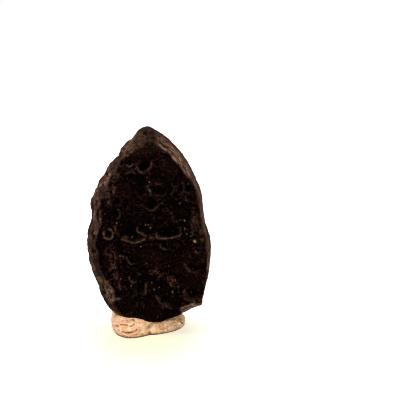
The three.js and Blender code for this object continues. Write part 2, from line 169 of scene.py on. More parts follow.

# Raised lips of the larger pits: the line's points x, z, then half width, height and the strength of the
# painted highlight along it
LIPS = {
    "tall pit under tip": ([(-1.4, 24.5), (-1.15, 23.8), (-0.55, 23.5), (0.1, 23.7), (0.55, 24.3),
        (0.75, 25.1)], 0.1, 0.12, 0.62),
    "clear ring": ([(-5.5, 15.6), (-5.05, 15.45), (-4.88, 15.0), (-4.9, 14.5), (-5.15, 14.2), (-5.6, 14.14),
        (-6.0, 14.36), (-6.1, 14.9), (-5.95, 15.35)], 0.1, 0.12, 1.05),
    "left rim of long pit": ([(-4.25, 16.4), (-4.5, 15.8), (-4.3, 15.2), (-3.95, 14.5)], 0.1, 0.08, 0.35),
    "left half of long lip": ([(-3.7, 14.2), (-3.05, 14.0), (-2.6, 13.85), (-2.15, 13.66), (-1.6, 13.64),
        (-1.0, 13.8), (-0.55, 14.05), (-0.1, 14.4)], 0.1, 0.15, 0.82),
    "centre cup": ([(-1.38, 15.8), (-1.5, 15.4), (-1.3, 15.12), (-1.0, 14.92), (-0.6, 14.75), (-0.2, 14.66),
        (0.05, 14.68)], 0.1, 0.13, 0.8),
    "bridge between pits": ([(0.25, 14.5), (0.6, 14.37), (1.0, 14.3)], 0.16, 0.08, 0.5),
    "right half of long lip": ([(1.3, 14.95), (1.3, 14.45), (1.6, 14.28), (2.7, 14.28), (3.35, 14.34),
        (4.0, 14.48), (4.4, 14.64), (4.75, 14.88)], 0.1, 0.15, 0.82),
    "rise at its right end": ([(4.55, 15.2), (4.6, 15.9)], 0.12, 0.06, 0.2),
    "crescent under lip": ([(1.75, 13.2), (1.95, 12.85), (2.35, 12.66), (2.7, 12.62)], 0.1, 0.1, 0.42),
    "lower left cup": ([(-3.0, 11.6), (-2.8, 11.0), (-2.62, 10.66), (-2.3, 10.5),
        (-1.95, 10.55)], 0.11, 0.1, 0.5),
    "lower cup": ([(-2.7, 8.75), (-2.55, 8.3), (-2.3, 8.0), (-1.9, 7.9), (-1.6, 8.05)], 0.1, 0.1, 0.58),
    "tall lower oval": ([(-0.3, 7.8), (-0.3, 7.1), (-0.4, 6.5), (-0.6, 6.1)], 0.15, 0.12, 0.5),
    "its left side": ([(-1.7, 6.9), (-1.65, 6.2)], 0.14, 0.06, 0.15),
    "lower right cup": ([(1.15, 6.1), (1.4, 5.35), (1.6, 5.0), (2.0, 4.88), (2.6, 4.87)], 0.12, 0.1, 0.45),
    "left corner slot": ([(-4.7, 5.6), (-3.9, 5.62)], 0.1, 0.1, 0.5),
}

# Ridges (height above 0) and grooves (below 0) of the front: the line's points x, z, then half width, height
STROKES = {
    "slit along bevel": ([(1.85, 27.85), (2.4, 27.35), (2.95, 26.95), (3.5, 26.5), (4.05, 25.8),
        (4.6, 25.15), (5.1, 24.45), (5.65, 23.4)], 0.15, -0.28),
    "ridge beside slit": ([(1.85, 27.4), (2.95, 26.55), (4.05, 25.35), (5.1, 24.0)], 0.18, 0.1),
    "arc above pit": ([(-2.75, 23.45), (-2.1, 23.62), (-1.6, 23.4)], 0.13, 0.1),
    "edge between pits": ([(-1.35, 23.6), (-1.3, 23.2)], 0.2, -0.12),
    "shadow over right lip": ([(1.55, 14.72), (2.8, 14.7), (4.1, 14.88)], 0.17, -0.24),
    "shadow in left pit": ([(-1.6, 14.35), (-1.0, 14.45)], 0.2, -0.2),
    "shadow under left lip": ([(-2.75, 13.4), (-2.5, 13.35)], 0.14, -0.16),
    "shadow under lower left cup": ([(-2.5, 10.2), (-1.8, 10.15)], 0.16, -0.16),
    "notch between tip and bevel": ([(0.95, 29.1), (1.1, 28.4), (1.05, 27.7)], 0.12, -0.16),
    "dark slot by left wall": ([(-6.35, 20.7), (-6.3, 19.5), (-6.15, 18.4)], 0.28, -0.4),
    "groove along left wall": ([(-6.9, 18.3), (-6.95, 17.0), (-6.55, 16.1), (-6.5, 15.2)], 0.2, -0.28),
    "groove down left wall": ([(-6.75, 13.1), (-6.55, 11.8), (-6.3, 10.6), (-5.95, 9.6)], 0.25, -0.32),
    "outer rib of left wall": ([(-7.3, 19.6), (-7.2, 18.0), (-7.35, 16.6), (-7.6, 15.6)], 0.22, 0.14),
    "inner rib of left wall": ([(-6.7, 18.9), (-6.6, 17.4), (-6.75, 16.4)], 0.18, 0.12),
    "left standing ridge": ([(-4.95, 12.8), (-4.8, 10.9), (-4.6, 9.2)], 0.34, 0.16),
    "ridge beside deep pit": ([(-4.6, 16.4), (-4.55, 15.5)], 0.2, 0.1),
    "left column": ([(-5.45, 21.2), (-5.35, 19.2)], 0.32, 0.12),
    "shoulder column": ([(-4.2, 23.4), (-4.75, 22.0), (-4.5, 20.6)], 0.24, 0.12),
    "slanting light ridge": ([(0.2, 21.6), (0.6, 20.5)], 0.22, 0.16),
    "ridge above brown patch": ([(3.45, 17.9), (3.55, 16.8)], 0.2, 0.1),
    "bright streak": ([(5.1, 10.6), (5.6, 9.95), (5.9, 9.6)], 0.2, 0.1),
    "slanting lower ridge": ([(-5.1, 9.6), (-4.3, 8.6), (-3.8, 7.1)], 0.34, 0.14),
    "groove into oval": ([(-1.7, 10.15), (-1.05, 9.5), (-0.5, 8.8)], 0.16, -0.18),
    "slanting groove": ([(2.0, 8.05), (2.6, 7.5), (3.4, 6.9), (4.4, 6.2)], 0.2, -0.26),
    "ridge over groove": ([(2.6, 8.4), (3.3, 7.55), (4.3, 7.2)], 0.22, 0.1),
    "line over chipped edge": ([(5.1, 4.8), (6.1, 5.0), (7.3, 5.02)], 0.09, -0.12),
    "edge of lower left facet": ([(-5.9, 8.2), (-5.1, 7.4), (-4.8, 6.6), (-4.9, 5.5)], 0.2, 0.16),
    "groove in lower left facet": ([(-6.45, 7.8), (-6.25, 6.9), (-6.1, 6.3)], 0.14, -0.2),
    "ledge of corner bowl": ([(5.2, 5.7), (5.8, 5.45), (6.4, 5.6)], 0.18, 0.16),
    "slit under ledge": ([(5.45, 5.25), (6.0, 5.2), (6.9, 5.2)], 0.1, -0.14),
    "vertical rib by right edge": ([(6.5, 17.9), (6.3, 16.6), (6.1, 15.3)], 0.24, 0.12),
    "second rib by right edge": ([(7.1, 17.4), (7.0, 16.2)], 0.18, 0.1),
}

# Painted glints: bright spots on small bumps of the front: x, z, radius
GLINTS = [
    (0.35, 22.25, 0.13), (0.05, 22.85, 0.08), (4.55, 19.2, 0.1), (5.35, 19.7, 0.09), (0.43, 15.8, 0.13),
    (-0.25, 16.2, 0.1), (0.1, 16.2, 0.09), (-3.14, 14.42, 0.1), (-2.2, 14.55, 0.1), (-2.2, 14.35, 0.1),
    (-0.95, 13.05, 0.11), (6.75, 12.4, 0.13), (7.5, 13.0, 0.08), (0.87, 6.9, 0.14), (1.6, 7.2, 0.1),
    (3.45, 6.6, 0.13), (3.5, 6.4, 0.08), (4.3, 6.5, 0.1), (3.2, 7.5, 0.1), (5.2, 16.78, 0.13),
    (5.2, 15.7, 0.1), (5.2, 15.5, 0.08), (5.45, 14.9, 0.1), (-5.82, 17.75, 0.09), (-4.25, 16.45, 0.12),
    (-3.75, 8.5, 0.11), (5.75, 22.0, 0.09), (5.7, 23.1, 0.08), (-2.35, 7.45, 0.13), (-3.4, 11.65, 0.09),
    (-3.9, 11.75, 0.08), (0.55, 7.9, 0.09), (1.6, 8.65, 0.09), (3.4, 8.25, 0.1), (3.9, 8.2, 0.09),
    (7.45, 15.4, 0.1), (6.1, 14.6, 0.08), (6.3, 14.75, 0.08), (7.0, 14.6, 0.08), (-0.15, 10.65, 0.1),
    (-3.7, 10.1, 0.08),
]
BEAD = (6.58, 13.85, 0.22)
DUST = {"count": 360, "smallest": 0.07, "largest": 0.11, "seed": 13}

# Calmer, glassier areas of the front: x, z, radius
CALM = [
    (3.0, 15.8, 1.3), (-2.9, 15.6, 1.0), (-1.5, 16.6, 1.0), (6.6, 8.3, 1.5), (5.0, 8.9, 1.2),
    (3.4, 11.4, 1.2), (-0.5, 3.5, 1.8), (1.8, 2.8, 1.6), (-2.8, 4.8, 1.3), (-2.4, 6.3, 0.8),
]

# Areas where the skin shows brown: x, z, radius
BROWN = [
    (6.5, 8.6, 2.0), (7.0, 11.8, 1.7), (4.9, 11.0, 1.4), (7.0, 16.6, 1.6), (7.4, 14.2, 1.2),
    (-5.2, 11.2, 1.5), (-5.4, 20.4, 1.2), (5.5, 6.2, 1.0), (1.0, 11.6, 1.5), (-1.5, 26.0, 1.6),
    (3.2, 24.0, 1.6), (-3.2, 21.0, 1.3),
]

# The swelling in the lower half, speckled with coarse grains: x, z, radius
SWELLING = [(0.7, 9.7, 0.9), (1.6, 9.3, 0.9), (2.6, 8.8, 0.9), (3.5, 8.2, 0.8), (4.2, 7.4, 0.6)]

# Paler areas of the front, partly frosted and partly painted light on facets and edges turned to the lights:
# centre x and z, half width, half height, turn, strength
FROSTED_AND_LIT = {
    "left of tip": (-0.9, 28.0, 1.0, 1.3, -30, 0.45),
    "bumpy upper left edge": (-2.6, 26.7, 1.6, 0.8, 45, 0.8),
    "left shoulder": (-5.55, 22.4, 0.42, 0.85, -22, 0.8),
    "rough swelling": (0.9, 9.4, 1.0, 0.55, -15, 0.15),
    "middle of swelling": (2.0, 9.0, 0.9, 0.5, -15, 0.16),
    "rough swelling below": (3.1, 8.6, 1.1, 0.5, -32, 0.17),
    "end of swelling": (4.3, 7.4, 0.45, 0.6, 0, 0.12),
    "lower left facet": (-5.65, 6.6, 0.75, 2.0, 14, 0.45),
    "brown patch by right edge": (6.6, 16.2, 0.8, 1.6, 0, 0.13),
    "rough right edge": (7.6, 14.7, 0.5, 1.3, 0, 0.25),
    "floor of corner bowl": (5.35, 6.3, 0.5, 0.7, 0, 0.3),
    "patch over putty": (2.7, 4.5, 0.6, 0.4, 0, 0.25),
    "left column": (-5.4, 20.2, 0.4, 1.2, 0, 0.14),
    "standing ridge": (-4.85, 10.9, 0.4, 1.9, 3, 0.2),
}

# Bands of painted rim light and highlight along the rims, ridges and ledges, and of painted floor reflection
# on
# the chip: points x, z on the front, half width, strength
RIM_LIGHT_BANDS = {
    "right bevel": ([(1.6, 28.85), (1.9, 28.5), (2.95, 27.65), (4.05, 26.55), (5.15, 25.15), (5.95, 23.9),
        (6.25, 23.45)], 0.52, 0.85),
    "right bevel below": ([(6.4, 23.2), (6.8, 22.1), (7.35, 20.8), (7.65, 19.4), (7.8, 17.6),
        (8.1, 16.0)], 0.3, 0.6),
    "inner ridge of bevel": ([(1.85, 27.4), (2.4, 26.95), (2.95, 26.55), (3.5, 26.05), (4.05, 25.35),
        (4.6, 24.75), (5.15, 23.95), (5.4, 23.5)], 0.2, 0.55),
    "upper left edge": ([(-1.2, 28.9), (-1.75, 28.1), (-2.5, 27.35), (-3.2, 26.6)], 0.2, 0.6),
    "slanting light ridge": ([(0.15, 21.7), (0.3, 21.2), (0.55, 20.6)], 0.15, 0.2),
    "bumpy ridge": ([(-2.6, 26.2), (-1.8, 26.6), (-1.0, 27.0)], 0.16, 0.2),
    "second bumpy ridge": ([(-3.2, 26.2), (-2.4, 26.75), (-1.6, 27.4)], 0.14, 0.22),
    "streak on right": ([(5.1, 10.6), (5.6, 9.95), (5.9, 9.6)], 0.2, 0.08),
    "bowl by corner": ([(5.2, 6.6), (5.4, 5.9), (6.0, 5.5)], 0.28, 0.14),
    "ledge by corner": ([(5.9, 5.5), (6.4, 5.35), (7.2, 5.4)], 0.1, 0.2),
    "spot on ledge": ([(6.3, 5.55), (6.45, 5.2)], 0.13, 0.6),
    "under lower right cup": ([(2.5, 4.6), (3.1, 4.35)], 0.25, 0.1),
    "between lower pits": ([(-0.7, 5.0), (-0.7, 4.6)], 0.25, 0.08),
    "left of tip": ([(-0.5, 29.2), (-1.3, 28.6)], 0.14, 0.5),
    "left shoulder": ([(-5.2, 23.35), (-5.45, 22.75), (-5.75, 22.15)], 0.28, 0.56),
    "upper shoulder": ([(-5.2, 24.1), (-5.15, 23.6)], 0.16, 0.35),
    "outer shoulder": ([(-6.1, 22.2), (-6.35, 21.7)], 0.18, 0.22),
    "edge below shoulder": ([(-6.4, 21.8), (-7.0, 20.8), (-7.3, 20.2)], 0.22, 0.35),
    "left streak": ([(-7.3, 19.7), (-7.15, 18.8), (-7.3, 17.8), (-7.2, 16.8), (-7.1, 15.8),
        (-7.3, 14.9)], 0.2, 0.42),
    "second left streak": ([(-6.9, 20.1), (-6.8, 19.2)], 0.16, 0.3),
    "lens by left wall": ([(-6.6, 17.9), (-6.5, 16.7)], 0.2, 0.25),
    "outer left wall": ([(-8.1, 14.6), (-8.2, 12.5), (-7.9, 10.5), (-7.4, 8.8)], 0.4, 0.24),
    "lower left facet": ([(-6.8, 8.4), (-5.8, 7.5), (-5.2, 6.9), (-5.0, 6.2), (-5.05, 5.6)], 0.36, 0.46),
    "middle of facet": ([(-5.9, 7.0), (-5.5, 6.0), (-5.3, 5.2)], 0.3, 0.32),
    "left of its slot": ([(-6.55, 7.4), (-6.5, 6.9)], 0.12, 0.4),
    "foot of facet": ([(-6.6, 5.6), (-6.0, 4.8), (-5.2, 4.0)], 0.14, 0.3),
    "rim under facet": ([(-4.8, 3.8), (-4.2, 3.3)], 0.1, 0.25),
    "ledge of corner slot": ([(-4.7, 5.6), (-3.8, 5.6)], 0.1, 0.2),
    "upper standing streak": ([(-3.7, 23.3), (-4.1, 22.6)], 0.18, 0.12),
    "middle standing streak": ([(-4.4, 21.5), (-4.6, 20.5)], 0.16, 0.08),
    "outer standing streak": ([(-5.6, 20.9), (-5.6, 20.1)], 0.16, 0.08),
    "arc above pit": ([(-2.75, 23.45), (-2.1, 23.62), (-1.6, 23.4)], 0.12, 0.12),
    "right edge": ([(8.0, 16.0), (8.45, 14.0), (8.6, 12.0), (8.4, 9.8)], 0.2, 0.45),
    # Painted reflection of the white floor on the chipped edge and under the chip
    "chipped edge": ([(4.6, 4.0), (5.35, 4.42), (6.1, 4.65), (6.75, 4.75), (7.4, 4.75)], 0.2, 1.0),
    "underside of chip": ([(4.8, 3.6), (5.6, 4.05), (6.5, 4.3), (7.1, 4.4)], 0.16, 0.85),
}

# Pits scattered over the back, the same as in the solid, and the small ones that only this piece has
BACK_PITS = {"count": 70, "smallest": 0.6, "largest": 1.7, "depth_share": 0.4, "clear_of_rim": 1.0, "seed": 7}
BACK_PIT_FLOOR = 0.5
# Rings round the back pits, with the strength of their painted highlight as brightness
BACK_RING = {"reach": 1.5, "crest": 1.08, "width": 0.12, "height": 0.08, "brightness": 0.5}
FINE_PITS = {"count": 900, "smallest": 0.12, "largest": 0.5, "depth_share": 0.4, "seed": 11}
FRONT_FINE_PITS = {"in_front_of": -3, "share": 0.45}
BEVEL_FINE_PITS = {"right_of": 2, "above": 19, "within": 4.3, "share": 0.25}

# Noise over the stone: cell size and seed
NOISES = {
    "across": (0.8, 31), "up": (0.8, 32), "uneven": (0.4, 33), "broken": (0.26, 34), "swell": (0.5, 35),
    "broad": (1.1, 3), "medium": (0.55, 4), "grain": (0.24, 7), "tip grain": (0.34, 10), "wall": (0.75, 8),
}
THREADS = (0.5, 5)
THREAD_WIDTH = 0.28
THREAD_LEVEL = 0.35
# Noise in rings round the stone's middle: cells per radian, per millimetre back and per millimetre out, seed
RING_NOISES = {"flow": ((8.0, 3.2, 2.4), 6), "streaks": ((11.0, 4.5, 4.5), 9)}
RING_SWAY = 0.3

# How far the noise moves the outlines of the pits and ridges, and its share for each kind of mark
WANDER = 0.09
WANDER_OF = {"lips": 0.7, "glints": 0.5, "swelling": 3, "brown": 4}

# Heights of the stone's noise and small marks
HEIGHT = {"broad": 0.05, "medium": 0.04, "threads": 0.05, "grain": 0.02, "tip": 0.05, "flow": 0.1,
          "wall": 0.08, "streaks": 0.03, "speck": 0.06, "bead": 0.16}

# Depths at which a hollow is fully dark with painted shade, on the front and on the sides, and at which it
# hides a back pit's painted ring highlight, and how dark the painted shade in a groove is
DARK = {"front": 0.27, "groove": 0.9, "side": 0.3, "ring": 0.2}
# How bright the painted glints and the dust are, and how pale a ridge is by frosting and painted highlight
SPECK_SHARE = 0.75
DUST_SHARE = 0.3
RIDGE_FROST = 0.2

# Fades: the value at which each one starts and the value at which it is full
FADES = {
    "front": (0.12, 0.45), "flat": (0.6, 0.9), "sideways": (-0.75, -0.1), "banded side": (-0.3, 0.0),
    "broken": (-0.4, 0.35), "bevel across": (1.6, 2.6), "bevel up": (18.5, 20.5), "bevel front": (-2.0, 0.0),
    "tip up": (25.2, 26.5), "tip across": (0.8, 1.6), "left": (0.5, 3.0), "left front": (-3.0, 0.5),
    "high up": (9.0, 13.0), "grip": (2.4, 3.4), "flow": (-0.25, 0.45), "right": (-2.0, 4.0),
    "right back": (-3.0, 0.0), "clear": (2.5, 5.0), "streak in band": (-0.45, 0.3),
    "patch in band": (-0.5, 0.2), "frost edge": (0.55, 1.15), "band edge": (0.5, 1.4),
    "spot edge": (0.5, 1.1), "lip end": (-0.05, 0.08), "gentle slope": (0.1, 1.1), "putty side": (0.35, 0.8),
    "to viewer": (-0.3, 0.05), "cracked": (-0.3, 0.3), "left block": (-0.5, 1.0), "above foot": (0.1, 0.7),
    "foot": (0.1, 0.42), "dirt edge": (0.3, 1.2),
}

# The value that each varied share starts from, and how much its noise or fade adds
VARIED = {
    "lip width": (1.15, 0.5), "lip height": (0.75, 0.35), "lip brightness": (0.45, 0.75),
    "rough on bevel": (1, -0.75), "rough where calm": (1, -0.6), "wall relief": (0.45, 0.55),
    "relief by grip": (0.25, 0.75), "band by streaks": (0.2, 0.95), "band by patches": (0.6, 0.5),
    "band by depth": (1, -0.85), "brown by patches": (0.6, 0.4), "wall by facing": (0.12, 0.88),
    "wall by flow": (0.4, 0.6), "wall on right": (1, -0.5), "putty push by height": (0.25, 0.75),
}
# Where the painted rim light of the bands starts to fade towards the back, left and right of the middle, and
# over what depth
BAND_BACK = {"left": -1.5, "right": -3.2, "over": 2.2}
# How much lower the frosting and painted rim light of the wall reach for each millimetre to the left
CLEAR_ON_LEFT = 0.35

# Driving sizes of the putty: its edge seen from above, anticlockwise from the right end, as x, y
PUTTY_OUTLINE = [
    (5.1, 1.5), (4.7, 3.2), (3.1, 4.2), (0.6, 3.9), (-2.2, 3.1), (-4.4, 2.5), (-5.4, 1.2), (-5.5, -0.6),
    (-5.25, -2.3), (-4.45, -4.2), (-3.05, -5.4), (-1.45, -5.1), (0.05, -4.0), (1.5, -3.5), (3.1, -2.5),
    (4.45, -0.9),
]
PUTTY_CENTRE = np.array([-0.2, -0.2])
PUTTY_HEIGHT = 3.1
PUTTY_FALL = 0.13
PUTTY_SIDE = 0.6
PUTTY_BELLY = 0.37
PUTTY_FREQUENCY = 66
PUTTY_SAG = {"at": (-2.3, -4.8), "radius": 2.2, "depth": 0.4}
PUTTY_DROOP = {"from": 2.6, "to": 5.0, "depth": 0.8}
PUTTY_WANDER = 0.1
# How far the noise moves the dark spots of grime and painted shade
PUTTY_DARK_SPOT_WANDER = 2
PUTTY_SHOULDER = 0.4
SHOULDER_AT = 2.1
PUTTY_GAP = 0.04
# How far the putty's waves may lift its top where no stone lies over it
PUTTY_REACH = 0.3
# The depth at which a crease starts to darken with painted shade, and the further depth at which it is fully
# dark
PUTTY_CREASE = {"from": 0.02, "over": 0.24}
ROOF_STEP = 0.02
FLOOR = 0.0

# Noise of the putty: height, stretch of its x, y and z, cell size and seed
PUTTY_NOISES = {
    "lumps": (0.08, 1, 0.9, 21), "dents": (0.09, 1, 0.42, 22), "grain": (0.05, 1, 0.2, 23),
    "kneaded": (0.15, (0.5, 0.5, 1.8), 0.45, 24), "back folds": (0.16, (0.6, 0.6, 1.2), 0.8, 25),
    "top": (0.08, 1, 0.7, 26), "cracked": (1, 1, 1.1, 29),
    "across": (PUTTY_WANDER, 1, 0.35, 27), "up": (PUTTY_WANDER, 1, 0.35, 30),
}
PUTTY_CRACKS = {"depth": 0.1, "stretch": (0.6, 0.6, 1.5), "cell": 0.5, "seed": 28}

# Folds and cracks of the putty as the camera sees them, on the plane of the stone's front: points x, z,
# half width and height (grooves below 0)
PUTTY_STROKES = {
    "long upper crack": ([(-3.95, 1.79), (-2.97, 1.7)], 0.1, -0.22),
    "forked crack": ([(-2.56, 1.54), (-2.35, 1.62), (-2.08, 1.87)], 0.1, -0.2),
    "crack over curled lip": ([(-3.72, 0.7), (-2.75, 0.56), (-1.95, 0.75), (-1.62, 1.0)], 0.12, -0.34),
    "curled lip": ([(-1.42, 1.02), (-1.6, 0.68), (-2.62, 0.36), (-3.69, 0.42)], 0.16, 0.2),
    "crack under lip": ([(-4.53, 0.52), (-3.97, 0.2), (-3.0, 0.1)], 0.08, -0.14),
    "crack at left end": ([(-5.2, 1.7), (-4.28, 1.62)], 0.1, -0.14),
    "dent on left": ([(-3.6, 0.98), (-3.5, 0.95)], 0.12, -0.22),
    "crease under stone": ([(-2.3, 2.46), (-1.6, 2.03), (-1.2, 2.0)], 0.1, -0.14),
    "pinch": ([(0.5, 1.95), (0.2, 1.6), (-0.02, 1.2), (0.1, 0.7), (0.0, 0.2)], 0.3, -0.12),
    "notch at foot of pinch": ([(-0.1, 0.5), (0.2, 0.42)], 0.16, -0.16),
    "first wrinkle": ([(1.0, 2.1), (1.25, 1.15)], 0.1, -0.04),
    "second wrinkle": ([(1.5, 1.9), (1.7, 1.05)], 0.1, -0.06),
    "third wrinkle": ([(2.0, 2.25), (2.2, 1.6)], 0.1, -0.05),
    "fourth wrinkle": ([(2.6, 2.2), (2.85, 1.35)], 0.1, -0.06),
    "fifth wrinkle": ([(3.1, 2.6), (3.3, 1.9)], 0.1, -0.05),
    "crack on right lobe": ([(2.72, 1.2), (2.8, 0.98), (3.1, 0.98), (3.84, 1.2),
        (4.37, 1.48)], 0.08, -0.22),
    "hole in rolled end": ([(4.62, 2.14), (4.85, 2.06)], 0.14, -0.45),
    "fold of rolled end": ([(4.2, 2.35), (4.45, 2.22), (4.78, 2.0)], 0.1, -0.2),
    "low fold on right": ([(0.92, 0.68), (1.97, 0.7), (2.71, 0.85)], 0.09, -0.14),
}
# Dark spots on the same plane, pressed-in grime and painted shade in holes, dents and cracks: x, z, radius,
# strength
PUTTY_DIRT_AND_SHADE = [
    (0.1, 0.5, 0.35, 1.0), (-0.88, 0.36, 0.25, 0.8), (0.45, 1.8, 0.18, 0.6), (4.75, 2.1, 0.2, 1.0),
    (0.4, 2.1, 0.5, 0.15), (0.75, 0.45, 0.25, 0.4), (-3.55, 0.95, 0.14, 0.4), (2.8, 1.05, 0.12, 0.6),
]

# The camera of the photograph: it looks along +Y, a little down, with the stone left of the middle
CAMERA_TARGET = np.array([8.43, 0.0, 17.75])
CAMERA_DISTANCE = 150.0
CAMERA_ELEVATION = math.radians(10.5)
CLIP = (0.005, 50.0)
SENSOR = 36.0
PICTURE_WIDTH = 416
PIXELS_PER_MM = 7.0
FRONT_PLANE = -4.45
FILTER_WIDTH = 1.0

# Colours of the glass, linear
GLASS = {
    "ground": (0.0008, 0.0002, 0.0005, 1), "calm": (0.0015, 0.0004, 0.0006, 1),
    "brown": (0.0045, 0.0012, 0.0009, 1), "threads": (0.0112, 0.0033, 0.0028, 1),
    # frost is frosting and partly painted light; band is painted rim light and floor reflection
    "grains": (0.062, 0.024, 0.018, 1), "frost": (0.127, 0.06, 0.038, 1), "band": (0.25, 0.16, 0.115, 1),
    # hollow is painted shade in pits and grooves; lip is the painted highlight on pit lips and back rings
    "hollow": (0.0005, 0.0002, 0.0006, 1), "lip": (0.078, 0.045, 0.031, 1),
    # speck is the painted glints and the dust
    "speck": (0.16, 0.115, 0.095, 1), "bead": (0.24, 0.16, 0.09, 1),
}
# Shader noise of both pieces: cells per metre, detail, roughness and stretch
TEXTURES = {
    "patches": (600.0, 3.0, 0.6), "mottle": (2300.0, 2.0, 0.6), "speckle": (5200.0, 2.0, 0.6),
    "fibres": (2600.0, 3.0, 0.6, (1, 1, 0.2)), "chips": (4200.0, 2.0, 0.6),
    "putty patches": (900.0, 4.0, 0.6), "putty grain": (2600.0, 3.0, 0.65),
}
CRACKLE = {"scale": 1900.0, "half_width": 0.1, "distortion": 0.3}
# How noise and shares are turned into others: low and high value, and what they become (0 and 1 if not given)
TURNS = {
    "patches": (0.38, 0.68, 0.15, 0.9), "lively": (0.0, 1.0, 1.0, 0.35), "grains": (0.6, 0.72),
    "speckle": (0.4, 0.6, 0.2, 1.45), "contrast": (0.42, 0.58, 0.0, 1.1), "fibres": (0.37, 0.61, 0.05, 0.42),
    "band": (0.36, 0.6, 0.35, 1.15), "grain share": (0.0, 1.0, 0.38, 0.9), "gloss": (0.3, 0.7, 0.26, 0.42),
    "putty patches": (0.35, 0.65), "putty grain": (0.56, 0.7, 0.0, 0.7), "putty gloss": (0.3, 0.7, 0.62, 0.8),
}
# How strongly the painted shade of the pits and grooves darkens the glass
PIT_SHADE_SHARE = 0.85
GLASS_SOCKETS = {"IOR": 1.5, "Specular IOR Level": 0.25, "Specular Tint": (1.0, 0.6, 0.45, 1.0)}
GLASS_BUMP = {"Strength": 0.85, "Distance": 0.000075}
MOTTLE_IN_BUMP = 1.5
CHIP_BUMP = {"Strength": 1.0, "Distance": 0.0008}

PUTTY_PATCHES = ((0.79, 0.47, 0.28, 1), (0.98, 0.74, 0.52, 1))
PUTTY_GRAIN = (0.5, 0.27, 0.14, 1)
# What darkens the putty, painted shade in the creases and at the foot and grime and painted shade in the dark
# spots: strength and colour
PUTTY_SHADE_AND_DIRT = {
    "crease": (0.85, (0.27, 0.11, 0.05, 1)), "foot": (0.9, (0.17, 0.07, 0.035, 1)),
    # The dark spots: pressed-in grime and painted shade in holes, dents and cracks
    "dirt": (0.75, (0.12, 0.075, 0.042, 1)),
}
PUTTY_SOCKETS = {"IOR": 1.45}
PUTTY_BUMP = {"Strength": 1.0, "Distance": 0.00022}

# The floor, in metres: half its side, the place and edge of the faint yellow of painted warm light in front
# of the putty, the yellow and the white, and the strength of their glow, painted light that lifts the shade,
# by the distance from the middle
FLOOR_SIDE = 6.0
TINT = {"centre": (0.0, -0.0049, 0.0), "squash": (1.0, 0.7, 1.0), "edge": (0.002, 0.0125)}
TINT_COLOURS = {"Base Color": ((0.5, 0.48, 0.3, 1), (0.6, 0.6, 0.59, 1)),
                "Emission Color": ((1, 0.98, 0.84, 1), (1, 1, 0.99, 1))}
GLOW = (0.02, 0.1, 0.6, 1.0)
FLOOR_SOCKETS = {"Roughness": 0.9, "Specular IOR Level": 0.1}

# The tent of light: how its walls dim towards the camera and low down, and where its roof glows
TENT = {"walls": (-0.3, 0.5, 0.13, 0.01), "low": (-0.5, 0.0, 0.25, 1.0), "roof": (0.5, 0.85, 0.0, 0.8)}
TENT_COLOURS = {"walls": (1.0, 0.6, 0.45, 1), "roof": (1.0, 0.8, 0.66, 1), "shown": (1, 1, 1, 1)}

# Softboxes: place, aim, width and height, power in watts, and whether the stone mirrors it
SOFTBOXES = {
    "left_softbox": ((-170, 40, 90), (0, 0, 14), (130, 130), 0.06, True),
    "right_softbox": ((170, 40, 110), (0, 0, 14), (130, 130), 0.09, True),
    "front_fill": ((-60, -230, 120), (0, 0, 5), (200, 200), 0.36, False),
    "ceiling_fill": ((0, 0, 260), (0, 0, 0), (320, 320), 0.6, False),
}
SOFTBOX_COLOUR = (1.0, 0.93, 0.84)


# Shape functions

def smoothstep(value, low, high):
    t = np.clip((value - low) / (high - low), 0, 1)
    return t * t * (3 - 2 * t)


def fade(value, name):
    return smoothstep(value, *FADES[name])


def varied(name, amount):
    start, added = VARIED[name]
    return start + added * amount


def smooth_max(a, b, k):
    """Smooth version of max(a, b), rounding the edge between two surfaces over a width of about k."""
    overlap = np.maximum(k - np.abs(a - b), 0) / k
    return np.maximum(a, b) + overlap * overlap * k / 4


def cloud(points, cell, seed, lattice_size=24):
    """Smooth random values from -1 to 1 that change over the given cell size."""
    lattice = np.random.default_rng(seed).uniform(-1, 1, (lattice_size,) * 3)
    scaled = points / cell
    low = np.floor(scaled).astype(int)
    t = scaled - low
    t = t * t * (3 - 2 * t)
    total = np.zeros(len(points))
    for corner in itertools.product((0, 1), repeat=3):
        weight = np.prod(np.where(corner, t, 1 - t), axis=1)
        i, j, k = ((low + corner) % lattice_size).T
        total += weight * lattice[i, j, k]
    return total


def closed_curve(points, steps=12):
    """Centripetal Catmull-Rom curve through a closed list of points, with so many steps to a point."""
    p = np.array(points, float)
    before, here, after, beyond = (np.roll(p, shift, axis=0) for shift in (1, 0, -1, -2))
    root = lambda a, b: np.sqrt(np.linalg.norm(b - a, axis=1))[:, None]
    d0, d1, d2 = root(before, here), root(here, after), root(after, beyond)
    leave = ((here - before) / d0 - (after - before) / (d0 + d1) + (after - here) / d1) * d1
    arrive = ((after - here) / d1 - (beyond - here) / (d1 + d2) + (beyond - after) / d2) * d1
    rows = []
    for t in np.arange(steps) / steps:
        square = (-3 * here + 3 * after - 2 * leave - arrive) * t**2
        cube = (2 * here - 2 * after + leave + arrive) * t**3
        rows.append(here + leave * t + square + cube)
    return np.stack(rows, axis=1).reshape(-1, 2)


def make_rim(outline, centre):
    """Reach of a closed outline from a centre, as sorted compass angles and lengths."""
    offsets = closed_curve(outline) - centre
    angles = np.degrees(np.arctan2(offsets[:, 1], offsets[:, 0])) % 360
    order = np.argsort(angles)
    return angles[order], np.linalg.norm(offsets, axis=1)[order]


def read_round(rim, degrees):
    return np.interp(degrees % 360, rim[0], rim[1], period=360)


